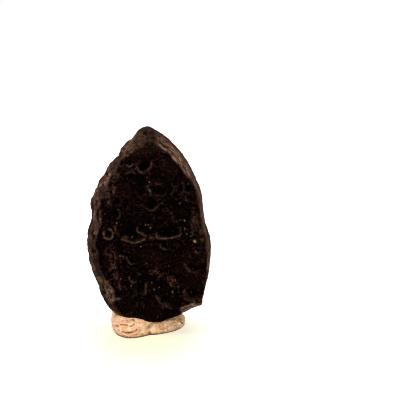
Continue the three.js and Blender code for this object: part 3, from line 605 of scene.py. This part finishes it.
def distance_to_line(u, v, points):
    """Distance of each spot (u, v) to a line through the points, and its place along the line, 0 to 1."""
    nearest = np.full(len(u), np.inf)
    along = np.zeros(len(u))
    lengths = [math.dist(a, b) for a, b in zip(points, points[1:])]
    passed = 0
    for (u0, v0), (u1, v1), length in zip(points, points[1:], lengths):
        t = ((u - u0) * (u1 - u0) + (v - v0) * (v1 - v0)) / length**2
        t = np.clip(t, 0, 1)
        gap = np.hypot(u - u0 - t * (u1 - u0), v - v0 - t * (v1 - v0))
        along = np.where(gap < nearest, (passed + t * length) / sum(lengths), along)
        nearest = np.minimum(nearest, gap)
        passed += length
    return nearest, along


def in_oval(u, v, x, z, rx, rz, turn):
    """Each spot's place in a turned oval, as shares of its half width and half height."""
    lean = math.radians(turn)
    across = ((u - x) * math.cos(lean) + (v - z) * math.sin(lean)) / rx
    up = ((v - z) * math.cos(lean) - (u - x) * math.sin(lean)) / rz
    return across, up


def geodesic_ball(frequency, digits=6):
    """Vertices and triangles of a unit ball: an icosahedron, each face cut into frequency^2 triangles."""
    seed = bmesh.new()
    bmesh.ops.create_icosphere(seed, subdivisions=1, radius=1.0)
    corners = np.array([vert.co for vert in seed.verts])
    faces = [[vert.index for vert in face.verts] for face in seed.faces]
    seed.free()
    spots = [(i, j) for i in range(frequency + 1) for j in range(frequency + 1 - i)]
    index = {spot: n for n, spot in enumerate(spots)}
    cells = []
    for i, j in spots:
        if i + j < frequency:
            cells.append((index[i, j], index[i + 1, j], index[i, j + 1]))
        if i + j < frequency - 1:
            cells.append((index[i + 1, j], index[i + 1, j + 1], index[i, j + 1]))
    shares = np.array([(frequency - i - j, i, j) for i, j in spots]) / frequency
    points = np.concatenate([shares @ corners[face] for face in faces])
    triangles = np.concatenate([np.array(cells) + n * len(spots) for n in range(len(faces))])
    points /= np.linalg.norm(points, axis=1)[:, None]
    _, first, merged = np.unique(points.round(digits), axis=0, return_index=True, return_inverse=True)
    return points[first], merged.reshape(-1)[triangles]


# The view of the photograph

FORWARD = np.array([0, math.cos(CAMERA_ELEVATION), -math.sin(CAMERA_ELEVATION)])
CAMERA = CAMERA_TARGET - CAMERA_DISTANCE * FORWARD


def seen(points):
    """Where each point appears on the plane of the stone's front face, looking from the camera: x and z."""
    ray = points - CAMERA
    on_plane = CAMERA + ray * ((FRONT_PLANE - CAMERA[1]) / ray[:, 1])[:, None]
    return on_plane[:, 0], on_plane[:, 2]


# The stone

STONE_RIM = make_rim(OUTLINE, STONE_CENTRE[[0, 2]])
BEVEL_ROWS = tuple(np.array(BEVELS, float).T)


def unit(vector):
    return np.array(vector) / np.linalg.norm(vector)


FACET_PLANES = [(unit(facing), unit(facing) @ np.array(at), soft) for at, facing, soft in FACETS.values()]


def lumps(p):
    x, y, z = p.T
    per_x, per_z, phase = CROSSED_WAVE["first"]
    cross_z, cross_y = CROSSED_WAVE["second"]
    waves = CROSSED_WAVE["height"] * np.sin(per_x * x + per_z * z + phase) * np.sin(cross_z * z + cross_y * y)
    for height, (per_x, per_y, per_z), phase in WAVES:
        waves += height * np.sin(per_x * x + per_y * y + per_z * z + phase)
    rise = np.minimum(1, np.abs(y) / LUMPS["fade"])
    return waves * (LUMPS["at_silhouette"] + (1 - LUMPS["at_silhouette"]) * rise)


def strata(p, angle):
    """The ledges that run up the left wall."""
    on_wall = smoothstep(angle, STRATA["from"], STRATA["from"] + STRATA["fade"])
    on_wall *= 1 - smoothstep(angle, STRATA["to"] - STRATA["fade"], STRATA["to"])
    layer = p[:, 1] + STRATA["sway"] * np.sin(SWAY_WAVE * p[:, 2])
    in_front = smoothstep(-p[:, 1], STRATA["clear"], STRATA["clear"] + 1)
    return STRATA["depth"] * on_wall * in_front * np.sin(2 * math.pi * layer / STRATA["pitch"])


def stone_level(p):
    """Roughly the distance outside the stone's skin: negative inside, positive outside."""
    dx, dz = p[:, 0] - STONE_CENTRE[0], p[:, 2] - STONE_CENTRE[2]
    y = p[:, 1]
    angle = np.degrees(np.arctan2(dz, dx)) % 360
    rim = read_round(STONE_RIM, angle)
    out = np.hypot(dx, dz)
    share = out / rim
    bevel = np.interp(angle, *BEVEL_ROWS)
    front_inset = bevel * np.power(np.maximum(-y, 0) / FRONT_DEPTH, FRONT_ARCH)
    back_inset = BACK_INSET * np.power(np.maximum(y, 0) / BACK_DEPTH, BACK_ARCH)
    side = out - rim + np.where(y < 0, front_inset, back_inset) + strata(p, angle)
    level = smooth_max(side, -y - FRONT_DEPTH + FRONT_CROWN * share**2, EDGE_ROUNDING)
    level = smooth_max(level, y - BACK_DEPTH + BACK_CROWN * share**2, BACK_ROUNDING)
    for normal, offset, soft in FACET_PLANES:
        level = smooth_max(level, p @ normal - offset, soft)
    from_chip = np.linalg.norm(np.cross(p - np.array(CHIP["at"]), unit(CHIP["along"])), axis=1)
    level = smooth_max(level, CHIP["radius"] - from_chip, CHIP["edge"])
    return level + lumps(p)


def stone_normals(p, step=0.05):
    slopes = [stone_level(p + axis) - stone_level(p - axis) for axis in np.eye(3) * step]
    normals = np.stack(slopes, axis=1)
    return normals / np.linalg.norm(normals, axis=1)[:, None]


def project_to_stone(directions):
    """Points where lines from the stone's centre along the given directions meet its skin."""
    biased = directions - np.array([0, FRONT_BIAS, 0])
    biased /= np.linalg.norm(biased, axis=1)[:, None]
    reach = biased * SPREAD
    inside = np.zeros(len(reach))
    outside = np.full(len(reach), MOST_SPREADS)
    for _ in range(HALVINGS):
        middle = (inside + outside) / 2
        within = stone_level(STONE_CENTRE + reach * middle[:, None]) < 0
        inside = np.where(within, middle, inside)
        outside = np.where(within, outside, middle)
    return STONE_CENTRE + reach * inside[:, None]


def bowl(t, floor_share=0.4):
    return 1 - smoothstep(t, floor_share, 1)


def bell(t):
    """1 where t is 0, falling smoothly to 0 on both sides."""
    return np.exp(-(t**2))


def lehmer(seed, multiplier=16807, modulus=2147483647):
    """Repeatable random numbers from 0 to 1."""
    state = seed
    while True:
        state = state * multiplier % modulus
        yield state / modulus


def back_pits():
    """The solid's own pits: a spot on the skin and a radius for each."""
    draw = lehmer(BACK_PITS["seed"])
    pits = []
    while len(pits) < BACK_PITS["count"]:
        direction = unit([next(draw) - 0.5, next(draw) - 0.5, next(draw) - 0.5])
        at = project_to_stone(direction[None])[0]
        size = next(draw)
        radius = BACK_PITS["smallest"] + (BACK_PITS["largest"] - BACK_PITS["smallest"]) * size * size
        if at[1] > BACK_PITS["clear_of_rim"] + radius / 2:
            pits.append((at, radius))
    return pits


def fine_pits():
    """Small pits all round the stone: spots on the skin and radii."""
    random = np.random.default_rng(FINE_PITS["seed"])
    directions = random.normal(size=(FINE_PITS["count"], 3))
    directions /= np.linalg.norm(directions, axis=1)[:, None]
    range_of_sizes = FINE_PITS["largest"] - FINE_PITS["smallest"]
    radii = FINE_PITS["smallest"] + range_of_sizes * random.random(len(directions)) ** 3
    return list(zip(project_to_stone(directions), radii))


def pit_relief(u, v):
    """Depth of the front's pits below the skin, height of their raised lips, and the painted highlight on the
    lips, 0 to 1.

    A pit's wall is steep under its lip and slopes gently out of the pit on the other side.
    """
    sink, lip, painted_lip_highlight = np.zeros((3, len(u)))
    for x, z, rx, rz, depth, turn, height, (start, end) in PITS.values():
        across, up = in_oval(u, v, x, z, rx, rz, turn)
        t = np.hypot(across, up)
        size = min(rx, rz)
        beyond = (np.degrees(np.arctan2(up, across)) - start) % 360
        span = end - start
        beside_lip = np.ones(len(u))
        if span < 360:
            beside_lip = smoothstep(np.minimum(beyond, span - beyond), 0, PIT_LIP["end"])
        gentle = 1 - fade(t, "gentle slope")
        steep = bowl(t, max(SMALLEST_PIT_FLOOR, 1 - PIT_LIP["wall"] / size))
        sink = np.maximum(sink, depth * (gentle + (steep - gentle) * beside_lip))
        ring = bell((t - PIT_LIP["crest"]) * size / PIT_LIP["width"]) * beside_lip
        lip = np.maximum(lip, height * ring)
        painted_lip_highlight = np.maximum(painted_lip_highlight, ring * min(1, (height / PIT_LIP["bright"]) ** PIT_LIP["dimming"]))
    return sink, lip, painted_lip_highlight


def lip_relief(u, v, swell):
    """Height of the traced lips and their painted highlight, 0 to 1. Their width varies by the swell."""
    height, bright = np.zeros((2, len(u)))
    for points, width, rise, strength in LIPS.values():
        gap, along = distance_to_line(u, v, points)
        here = bell(gap / (width * swell)) * fade(np.minimum(along, 1 - along), "lip end")
        height = np.maximum(height, rise * here)
        bright = np.maximum(bright, strength * here)
    return height, bright


def worms(points, cell, seed):
    """Winding raised threads, 1 along their crests and 0 between them."""
    return bell(cloud(points, cell, seed) / THREAD_WIDTH)


def stroke_relief(u, v, strokes, shoulder=0.0):
    """Height of the ridges and grooves drawn by a list of lines, and the same as shares of full height.

    A groove's sides rise, or a ridge's sink, by the shoulder's share of its depth.
    """
    height, share = np.zeros((2, len(u)))
    for points, width, rise in strokes.values():
        gap, _ = distance_to_line(u, v, points)
        here = bell(gap / width)
        height += rise * (here - shoulder * bell(gap / width - SHOULDER_AT))
        share += math.copysign(1, rise) * here
    return height, np.clip(share, -1, 1)


def painted(marks, edge):
    """The strongest mark at each spot, from each mark's strength and every spot's distance in its radii."""
    return np.max([strength * (1 - fade(distance, edge)) for strength, distance in marks], axis=0)


def frost_and_facet_light(u, v):
    """How pale the front's skin is in its pale areas, by frosting and painted light, 0 to 1."""
    ovals = [(strength, np.hypot(*in_oval(u, v, *oval))) for *oval, strength in FROSTED_AND_LIT.values()]
    return painted(ovals, "frost edge")


def rim_light_bands(u, v):
    """How strong the painted rim light and floor reflection are along the bands of the rim, 0 to 1."""
    bands = RIM_LIGHT_BANDS.values()
    lines = [(strength, distance_to_line(u, v, points)[0] / width) for points, width, strength in bands]
    return painted(lines, "band edge")


def spots(u, v, places, edge="spot edge"):
    """Round spots, strongest in their middles: x, z, radius and, if it isn't 1, strength."""
    rows = [(x, z, radius, *strength, 1)[:4] for x, z, radius, *strength in places]
    return painted([(strength, np.hypot(u - x, v - z) / radius) for x, z, radius, strength in rows], edge)


def dust(points):
    """Tiny bright grains scattered over the skin: 1 on a grain, 0 elsewhere."""
    random = np.random.default_rng(DUST["seed"])
    chosen = points[random.integers(0, len(points), DUST["count"])]
    radii = random.uniform(DUST["smallest"], DUST["largest"], len(chosen))
    amount = np.zeros(len(points))
    for at, radius in zip(chosen, radii):
        near = np.abs(points - at).max(axis=1) < radius
        amount[near] = np.maximum(amount[near], 1 - np.linalg.norm(points[near] - at, axis=1) / radius)
    return amount


def ring_noises(base):
    """Noise that runs in rings round the stone's middle."""
    from_middle = base - STONE_CENTRE
    angle = np.arctan2(from_middle[:, 2], from_middle[:, 0])
    layer = base[:, 1] + RING_SWAY * np.sin(SWAY_WAVE * base[:, 2])
    out = np.hypot(from_middle[:, 0], from_middle[:, 2])
    rings = np.column_stack([angle, layer, out])
    return {name: cloud(rings * density, 1.0, seed) for name, (density, seed) in RING_NOISES.items()}


def side_pits(base):
    """Depth of the scattered pits, and the height and painted highlight of the rings round those of the back.
    """
    sink, rise, lip = np.zeros((3, len(base)))
    for at, radius in back_pits():
        distance = np.linalg.norm(base - at, axis=1)
        near = distance < BACK_RING["reach"] * radius
        t = distance[near] / radius
        sink[near] = np.maximum(sink[near], BACK_PITS["depth_share"] * radius * bowl(t, BACK_PIT_FLOOR))
        ring = bell((t - BACK_RING["crest"]) * radius / BACK_RING["width"])
        rise[near] += BACK_RING["height"] * radius * ring
        lip[near] = np.maximum(lip[near], BACK_RING["brightness"] * ring)
    for at, radius in fine_pits():
        distance = np.linalg.norm(base - at, axis=1)
        near = distance < radius
        share = FRONT_FINE_PITS["share"] if at[1] < FRONT_FINE_PITS["in_front_of"] else 1.0
        on_right = at[0] > BEVEL_FINE_PITS["right_of"] and at[2] > BEVEL_FINE_PITS["above"]
        if on_right and abs(at[1]) < BEVEL_FINE_PITS["within"]:
            share = BEVEL_FINE_PITS["share"]
        depth = share * FINE_PITS["depth_share"] * radius * bowl(distance[near] / radius)
        sink[near] = np.maximum(sink[near], depth)
    return sink, rise, lip


def make_stone():
    """Points in millimetres, triangles, and the shares that its material reads at each point."""
    ball, triangles = geodesic_ball(STONE_FREQUENCY)
    base = project_to_stone(ball)
    x, y, z = base.T
    normals = stone_normals(base)
    u, v = seen(base)
    facing = -normals[:, 1]
    front = fade(facing, "front")
    wall = 1 - fade(facing, "flat")
    noise = {name: cloud(base, cell, seed) for name, (cell, seed) in NOISES.items()}
    noise.update(ring_noises(base))

    across, up = WANDER * noise["across"], WANDER * noise["up"]
    moved = {name: (u + share * across, v + share * up) for name, share in WANDER_OF.items()}
    sink, lip, painted_lip_highlight = pit_relief(u + across, v + up)
    traced, traced_highlight = lip_relief(*moved["lips"], varied("lip width", noise["swell"]))
    ridge, ridge_share = stroke_relief(u + across, v + up, STROKES)
    relief = front * ((np.maximum(lip, traced) + ridge) * varied("lip height", noise["uneven"]) - sink)

    on_bevel = fade(u, "bevel across") * fade(v, "bevel up") * wall * fade(-y, "bevel front")
    calm = spots(u, v, CALM)
    rough = varied("rough on bevel", on_bevel) * varied("rough where calm", calm)
    threads = HEIGHT["threads"] * (worms(base, *THREADS) - THREAD_LEVEL)
    waves = HEIGHT["broad"] * noise["broad"] + HEIGHT["medium"] * noise["medium"]
    relief += rough * (waves + threads + HEIGHT["grain"] * noise["grain"])
    by_tip = fade(v, "tip up") * (1 - fade(u, "tip across"))
    relief += by_tip * front * HEIGHT["tip"] * (noise["grain"] + noise["tip grain"])
    left_wall = wall * fade(-x, "left") * fade(-y, "left front")
    layers = HEIGHT["flow"] * noise["flow"] + HEIGHT["wall"] * noise["wall"]
    relief += varied("wall relief", fade(z, "high up")) * left_wall * layers
    relief += HEIGHT["streaks"] * noise["streaks"] * wall
    side_sink, ring_rise, back_ring_highlight = side_pits(base)
    relief += ring_rise - side_sink
    back_ring_highlight *= 1 - np.clip(side_sink / DARK["ring"], 0, 1)
    relief *= varied("relief by grip", fade(z, "grip"))
    points = base + normals * relief[:, None]

    # Painted glints on small bumps
    glints = front * spots(*moved["glints"], GLINTS)
    bead = front * spots(u, v, [BEAD])
    points += normals * (HEIGHT["speck"] * glints + HEIGHT["bead"] * bead)[:, None]
    # Painted rim light, fading towards the back and on sides turned away
    band = varied("band by streaks", fade(noise["streaks"], "streak in band"))
    band *= rim_light_bands(u + across, v + up) * varied("band by patches", fade(noise["medium"], "patch in band"))
    start = np.where(x > 0, BAND_BACK["right"], BAND_BACK["left"])
    band *= varied("band by depth", smoothstep(y, start, start + BAND_BACK["over"]))
    # Painted highlights on the lips of the front pits and on the rings of the back pits
    lips = np.maximum(front * np.maximum(painted_lip_highlight, traced_highlight), back_ring_highlight)
    # The wall's frosting is partly painted rim light: paler on walls not turned to the back, weaker at the
    # right back
    wall *= varied("wall by facing", fade(facing, "sideways"))
    wall *= varied("wall by flow", fade(noise["flow"], "flow"))
    wall *= varied("wall on right", fade(x, "right") * fade(y, "right back"))
    # Painted shade, darker the deeper a pit is and along the grooves
    painted_pit_shade = sink / DARK["front"] + DARK["groove"] * np.maximum(-ridge_share, 0)
    shares = {
        # Painted highlight on the pit lips
        "lip": np.clip(lips * varied("lip brightness", fade(noise["broken"], "broken")), 0, 1),
        # Frosting and painted light on the pale areas and ridges
        "frost": np.clip(front * (frost_and_facet_light(u, v) + RIDGE_FROST * np.maximum(ridge_share, 0)), 0, 1),
        # Painted rim light and floor reflection
        "band": band * fade(facing, "banded side"),
        "calm": calm,
        "coarse": by_tip * front,
        "swelling": front * spots(*moved["swelling"], SWELLING),
        "brown": front * spots(*moved["brown"], BROWN) * varied("brown by patches", noise["broad"]),
        # Frosting and painted rim light on the walls
        "wall": wall * fade(z + CLEAR_ON_LEFT * np.maximum(-x, 0), "clear"),
        # Painted shade in the pits and grooves of the front and in the back pits
        "hollow": np.clip(front * painted_pit_shade + side_sink / DARK["side"], 0, 1),
        # Painted glints and scattered dust
        "speck": np.maximum(SPECK_SHARE * glints, DUST_SHARE * front * dust(base)),
        "bead": bead,
    }
    return points, triangles, shares


# The putty

PUTTY_RIM = make_rim(PUTTY_OUTLINE, PUTTY_CENTRE)


def roof_over_putty(points, top):
    """Height of the stone's underside above each point, less the gap, or top where there is no stone."""
    probe = np.column_stack([points[:, 0], points[:, 1], np.full(len(points), FLOOR)])
    roof = np.array(top, float)
    open_above = np.ones(len(points), bool)
    for z in np.arange(FLOOR, top.max(), ROOF_STEP):
        probe[:, 2] = z
        level = stone_level(probe[open_above])
        hit = np.flatnonzero(open_above)[level <= PUTTY_GAP]
        roof[hit] = np.minimum(roof[hit], z)
        open_above[hit] = False
    return roof


def make_putty():
    """Points in millimetres, triangles, and the shares that its material reads at each point."""
    ball, triangles = geodesic_ball(PUTTY_FREQUENCY)
    bulge = lambda value: np.sign(value) * np.power(np.abs(value), PUTTY_SIDE)
    around = np.arctan2(ball[:, 1], ball[:, 0])
    outward = np.column_stack([np.cos(around), np.sin(around), np.zeros(len(ball))])
    from_axis = np.hypot(ball[:, 0], ball[:, 1])
    out = read_round(PUTTY_RIM, np.degrees(around)) * bulge(from_axis)
    points = out[:, None] * outward
    points[:, :2] += PUTTY_CENTRE
    from_sag = np.linalg.norm(points[:, :2] - PUTTY_SAG["at"], axis=1) / PUTTY_SAG["radius"]
    height = PUTTY_HEIGHT - PUTTY_FALL * out * np.cos(around) - PUTTY_SAG["depth"] * bell(from_sag)
    height -= PUTTY_DROOP["depth"] * smoothstep(points[:, 0], PUTTY_DROOP["from"], PUTTY_DROOP["to"])
    points[:, 2] = height * (PUTTY_BELLY + (1 - PUTTY_BELLY) * bulge(ball[:, 2]))

    u, v = seen(points)
    sideways = fade(from_axis, "putty side")
    to_viewer = sideways * fade(-np.sin(around), "to viewer")
    noise = {name: rise * cloud(points * np.array(stretch), cell, seed)
             for name, (rise, stretch, cell, seed) in PUTTY_NOISES.items() if name != "top"}
    creases, _ = stroke_relief(u + noise["across"], v + noise["up"], PUTTY_STROKES, PUTTY_SHOULDER)
    skin = noise["lumps"] + noise["dents"] + noise["grain"]
    stretched = points * np.array(PUTTY_CRACKS["stretch"])
    cracked = worms(stretched, PUTTY_CRACKS["cell"], PUTTY_CRACKS["seed"]) * fade(noise["cracked"], "cracked")
    left_block = fade(-points[:, 0], "left block")
    back_folds = (1 - to_viewer) * sideways * np.abs(noise["back folds"])
    kneaded = left_block * noise["kneaded"] - PUTTY_CRACKS["depth"] * cracked
    push = to_viewer * creases + sideways * (skin + kneaded) - back_folds
    push *= varied("putty push by height", fade(points[:, 2], "above foot"))
    points += outward * push[:, None]
    rise, _, cell, seed = PUTTY_NOISES["top"]
    points[:, 2] += (1 - sideways) * rise * cloud(points, cell, seed)
    roof = roof_over_putty(points, height + PUTTY_REACH)
    points[:, 2] = np.maximum(FLOOR, np.minimum(points[:, 2], roof))

    across, up = PUTTY_DARK_SPOT_WANDER * noise["across"], PUTTY_DARK_SPOT_WANDER * noise["up"]
    shares = {
        # Painted shade in the creases, darker where the skin is pushed in deeper
        "crease": np.clip((-push - PUTTY_CREASE["from"]) / PUTTY_CREASE["over"], 0, 1),
        # Pressed-in grime and painted shade in holes, dents and cracks
        "dirt": spots(u + across, v + up, PUTTY_DIRT_AND_SHADE, "dirt edge") * to_viewer,
        # Painted shade at the foot, darker towards the bottom
        "foot": (1 - fade(points[:, 2], "foot")) * sideways,
    }
    return points, triangles, shares


# Meshes and materials

def add_object(name, data):
    piece = bpy.data.objects.new(name, data)
    bpy.context.scene.collection.objects.link(piece)
    return piece


def add_mesh(name, points_mm, triangles, shares, offset_mm, material):
    mesh = bpy.data.meshes.new(name)
    mesh.from_pydata(((points_mm + offset_mm) * MM).tolist(), [], facing_out(points_mm, triangles).tolist())
    mesh.shade_smooth()
    for share, values in shares.items():
        attribute = mesh.attributes.new(share, "FLOAT", "POINT")
        attribute.data.foreach_set("value", values.astype(np.float32))
    mesh.materials.append(material)
    return add_object(name, mesh)


def facing_out(points, triangles):
    """Triangles in the order that makes the closed mesh face outwards."""
    a, b, c = (points[triangles[:, n]] for n in range(3))
    volume = np.einsum("ij,ij->i", a, np.cross(b, c)).sum()
    return triangles if volume > 0 else triangles[:, ::-1]


class Nodes:
    """Short calls that add nodes to one material or world and join them up."""

    def __init__(self, tree):
        self.tree = tree
        tree.nodes.clear()

    def add(self, kind, inputs=None, **settings):
        node = self.tree.nodes.new(kind)
        for name, value in settings.items():
            setattr(node, name, value)
        for key, value in (inputs or {}).items():
            self.put(node.inputs[key], value)
        return node

    def put(self, socket, value):
        if isinstance(value, bpy.types.NodeSocket):
            self.tree.links.new(value, socket)
        else:
            socket.default_value = value

    def share(self, name):
        return self.add("ShaderNodeAttribute", attribute_name=name).outputs["Fac"]

    def place(self):
        return self.add("ShaderNodeTexCoord").outputs["Object"]

    def stretched(self, place, scale):
        return self.add("ShaderNodeMapping", {"Vector": place, "Scale": scale}).outputs["Vector"]

    def noise(self, name):
        scale, detail, roughness, *stretch = TEXTURES[name]
        placed = self.stretched(self.place(), *(stretch or [(1, 1, 1)]))
        inputs = {"Vector": placed, "Scale": scale, "Detail": detail, "Roughness": roughness}
        return self.add("ShaderNodeTexNoise", inputs).outputs["Fac"]

    def crackle(self):
        """Winding lines: 1 along them, 0 away from them."""
        inputs = {"Vector": self.place(), "Scale": CRACKLE["scale"], "Detail": 0.0}
        waves = self.add("ShaderNodeTexNoise", {**inputs, "Distortion": CRACKLE["distortion"]}).outputs["Fac"]
        gap = self.sum("ABSOLUTE", self.sum("SUBTRACT", waves, 0.5))
        return self.spread(gap, 0.0, CRACKLE["half_width"], 1.0, 0.0)

    def spread(self, value, from_low, from_high, to_low=0.0, to_high=1.0):
        inputs = {0: value, 1: from_low, 2: from_high, 3: to_low, 4: to_high}
        return self.add("ShaderNodeMapRange", inputs, interpolation_type="SMOOTHSTEP").outputs[0]

    def turn(self, value, name):
        return self.spread(value, *TURNS[name])

    def sum(self, operation, *values, **settings):
        inputs = dict(enumerate(values))
        return self.add("ShaderNodeMath", inputs, operation=operation, **settings).outputs[0]

    def times(self, a, b):
        return self.sum("MULTIPLY", a, b)

    def blend(self, share, a, b):
        node = self.add("ShaderNodeMix", data_type="RGBA")
        self.put(node.inputs[0], share)
        for socket, value in zip([s for s in node.inputs if s.type == "RGBA"], (a, b)):
            self.put(socket, value)
        return [s for s in node.outputs if s.type == "RGBA"][0]


def principled_material(name, settings):
    material = bpy.data.materials.new(name)
    material.use_nodes = True
    nodes = Nodes(material.node_tree)
    shader = nodes.add("ShaderNodeBsdfPrincipled", settings)
    nodes.add("ShaderNodeOutputMaterial", {"Surface": shader.outputs["BSDF"]})
    return material, nodes, shader


def black_glass():
    """Worn natural glass: nearly black and satin, with brown threads, frosted and painted-lit rims, walls and
    facets, painted shade in its pits and painted highlights on lips and glints.
    """
    material, nodes, shader = principled_material("worn_black_glass", GLASS_SOCKETS)
    crackle = nodes.crackle()
    mottle = nodes.noise("mottle")
    lively = nodes.turn(nodes.share("calm"), "lively")
    threads = nodes.times(nodes.times(crackle, nodes.turn(nodes.noise("patches"), "patches")), lively)
    grains = nodes.times(nodes.turn(mottle, "grains"), lively)
    speckle = nodes.turn(nodes.noise("speckle"), "speckle")
    contrast = nodes.times(nodes.turn(mottle, "contrast"), speckle)
    fibres = nodes.turn(nodes.noise("fibres"), "fibres")
    # Frosting and painted light on facets, ridges and walls
    frost = nodes.times(nodes.share("frost"), contrast)
    frost = nodes.sum("ADD", frost, nodes.times(nodes.share("wall"), fibres), use_clamp=True)
    layers = {
        "calm": nodes.share("calm"),
        "brown": nodes.share("brown"),
        "threads": threads,
        "grains": nodes.times(grains, nodes.turn(nodes.share("swelling"), "grain share")),
        "frost": frost,
        # Painted rim light and floor reflection
        "band": nodes.times(nodes.share("band"), nodes.turn(mottle, "band")),
        # Painted shade in the pits and grooves
        "hollow": nodes.times(nodes.share("hollow"), PIT_SHADE_SHARE),
        # Painted highlight on the pit lips
        "lip": nodes.share("lip"),
        # Painted glints and dust
        "speck": nodes.share("speck"),
        "bead": nodes.share("bead"),
    }
    skin = GLASS["ground"]
    for name, share in layers.items():
        skin = nodes.blend(share, skin, GLASS[name])
    nodes.put(shader.inputs["Base Color"], skin)
    nodes.put(shader.inputs["Roughness"], nodes.turn(mottle, "gloss"))
    height = nodes.sum("ADD", crackle, nodes.times(mottle, MOTTLE_IN_BUMP))
    bump = nodes.add("ShaderNodeBump", {**GLASS_BUMP, "Height": height}).outputs["Normal"]
    chips = nodes.times(nodes.noise("chips"), nodes.share("coarse"))
    bump = nodes.add("ShaderNodeBump", {**CHIP_BUMP, "Height": chips, "Normal": bump}).outputs["Normal"]
    nodes.put(shader.inputs["Normal"], bump)
    return material


def pale_putty():
    """Kneaded beige putty: matte, darker and redder in its creases and at its foot by painted shade, grey in
    spots of pressed-in grime and painted shade.
    """
    material, nodes, shader = principled_material("kneaded_putty", PUTTY_SOCKETS)
    patches = nodes.noise("putty patches")
    grain = nodes.noise("putty grain")
    skin = nodes.blend(nodes.turn(patches, "putty patches"), *PUTTY_PATCHES)
    skin = nodes.blend(nodes.turn(grain, "putty grain"), skin, PUTTY_GRAIN)
    for name, (strength, colour) in PUTTY_SHADE_AND_DIRT.items():
        skin = nodes.blend(nodes.times(nodes.share(name), strength), skin, colour)
    nodes.put(shader.inputs["Base Color"], skin)
    nodes.put(shader.inputs["Roughness"], nodes.turn(patches, "putty gloss"))
    bump = nodes.add("ShaderNodeBump", {**PUTTY_BUMP, "Height": grain})
    nodes.put(shader.inputs["Normal"], bump.outputs["Normal"])
    return material


# Stage, light and camera

def add_floor():
    """A wide white floor that glows with painted light, faintly yellow with painted warm light before the
    putty. The stone mirrors the world instead of it.
    """
    side = FLOOR_SIDE
    mesh = bpy.data.meshes.new("floor")
    corners = [(-side, -side, 0), (side, -side, 0), (side, side, 0), (-side, side, 0)]
    mesh.from_pydata(corners, [], [(0, 1, 2, 3)])
    material, nodes, shader = principled_material("white_sweep", FLOOR_SOCKETS)
    place = nodes.place()
    distance = nodes.add("ShaderNodeVectorMath", {0: place}, operation="LENGTH").outputs["Value"]
    squashed = {0: nodes.stretched(place, TINT["squash"]), 1: TINT["centre"]}
    before = nodes.add("ShaderNodeVectorMath", squashed, operation="DISTANCE").outputs["Value"]
    far = nodes.spread(before, *TINT["edge"])
    # Painted warm light: a faint yellow patch before the putty
    for socket, colours in TINT_COLOURS.items():
        nodes.put(shader.inputs[socket], nodes.blend(far, *colours))
    # Painted light: the floor glows, less near the middle, lifting the shade round the pieces
    nodes.put(shader.inputs["Emission Strength"], nodes.spread(distance, *GLOW))
    mesh.materials.append(material)
    floor = add_object("floor", mesh)
    floor.visible_glossy = False


def add_world():
    """A white tent of light, brightest overhead and dark towards the camera, behind it and low down."""
    world = bpy.data.worlds.new("tent")
    bpy.context.scene.world = world
    world.use_nodes = True
    nodes = Nodes(world.node_tree)
    direction = nodes.add("ShaderNodeTexCoord").outputs["Generated"]
    axes = nodes.add("ShaderNodeSeparateXYZ", {0: direction}).outputs
    walls = nodes.spread(nodes.times(axes["Y"], -1.0), *TENT["walls"])
    walls = nodes.times(walls, nodes.spread(axes["Z"], *TENT["low"]))
    strengths = {"walls": walls, "roof": nodes.spread(axes["Z"], *TENT["roof"]), "shown": 1.0}
    sources = {}
    for name, strength in strengths.items():
        inputs = {"Color": TENT_COLOURS[name], "Strength": strength}
        sources[name] = nodes.add("ShaderNodeBackground", inputs).outputs[0]
    lit = nodes.add("ShaderNodeAddShader", {0: sources["walls"], 1: sources["roof"]}).outputs[0]
    camera_ray = nodes.add("ShaderNodeLightPath").outputs["Is Camera Ray"]
    mix = nodes.add("ShaderNodeMixShader", {0: camera_ray, 1: lit, 2: sources["shown"]})
    nodes.add("ShaderNodeOutputWorld", {"Surface": mix.outputs[0]})


def add_softbox(name, place_mm, aim_mm, size_mm, power, mirrored):
    light = bpy.data.lights.new(name, "AREA")
    light.shape = "RECTANGLE"
    light.size, light.size_y = (length * MM for length in size_mm)
    light.energy = power
    light.color = SOFTBOX_COLOUR
    lamp = add_object(name, light)
    place, aim = Vector(place_mm) * MM, Vector(aim_mm) * MM
    turned = (aim - place).to_track_quat("-Z", "Y").to_matrix().to_4x4()
    lamp.matrix_world = Matrix.Translation(place) @ turned
    lamp.visible_camera = False
    lamp.visible_glossy = mirrored


def add_camera(offset_mm):
    data = bpy.data.cameras.new("camera")
    data.sensor_width = SENSOR
    data.lens = SENSOR * PIXELS_PER_MM * CAMERA_DISTANCE / PICTURE_WIDTH
    data.clip_start, data.clip_end = CLIP
    camera = add_object("camera", data)
    camera.location = Vector((CAMERA + offset_mm) * MM)
    camera.rotation_euler = (math.pi / 2 - CAMERA_ELEVATION, 0, 0)
    bpy.context.scene.camera = camera


def main():
    scene = bpy.context.scene
    scene.view_settings.view_transform = "Standard"
    scene.view_settings.look = "None"
    scene.cycles.filter_width = FILTER_WIDTH

    stone_parts = make_stone()
    low, high = (np.array(corner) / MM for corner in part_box("tektite"))
    middle = (stone_parts[0].min(axis=0) + stone_parts[0].max(axis=0)) / 2
    offset = (low + high) / 2 - middle
    offset[2] = 0.0

    add_camera(offset)
    stone = add_mesh("tektite_glass", *stone_parts, offset, black_glass())
    putty = add_mesh("putty_lump", *make_putty(), offset, pale_putty())
    for piece, node, slot in ((stone, "tektite", "black_glass"), (putty, "putty", "putty")):
        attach(piece, "root")
        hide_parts(node)

    add_floor()
    add_world()
    for name, settings in SOFTBOXES.items():
        add_softbox(name, *settings)


main()
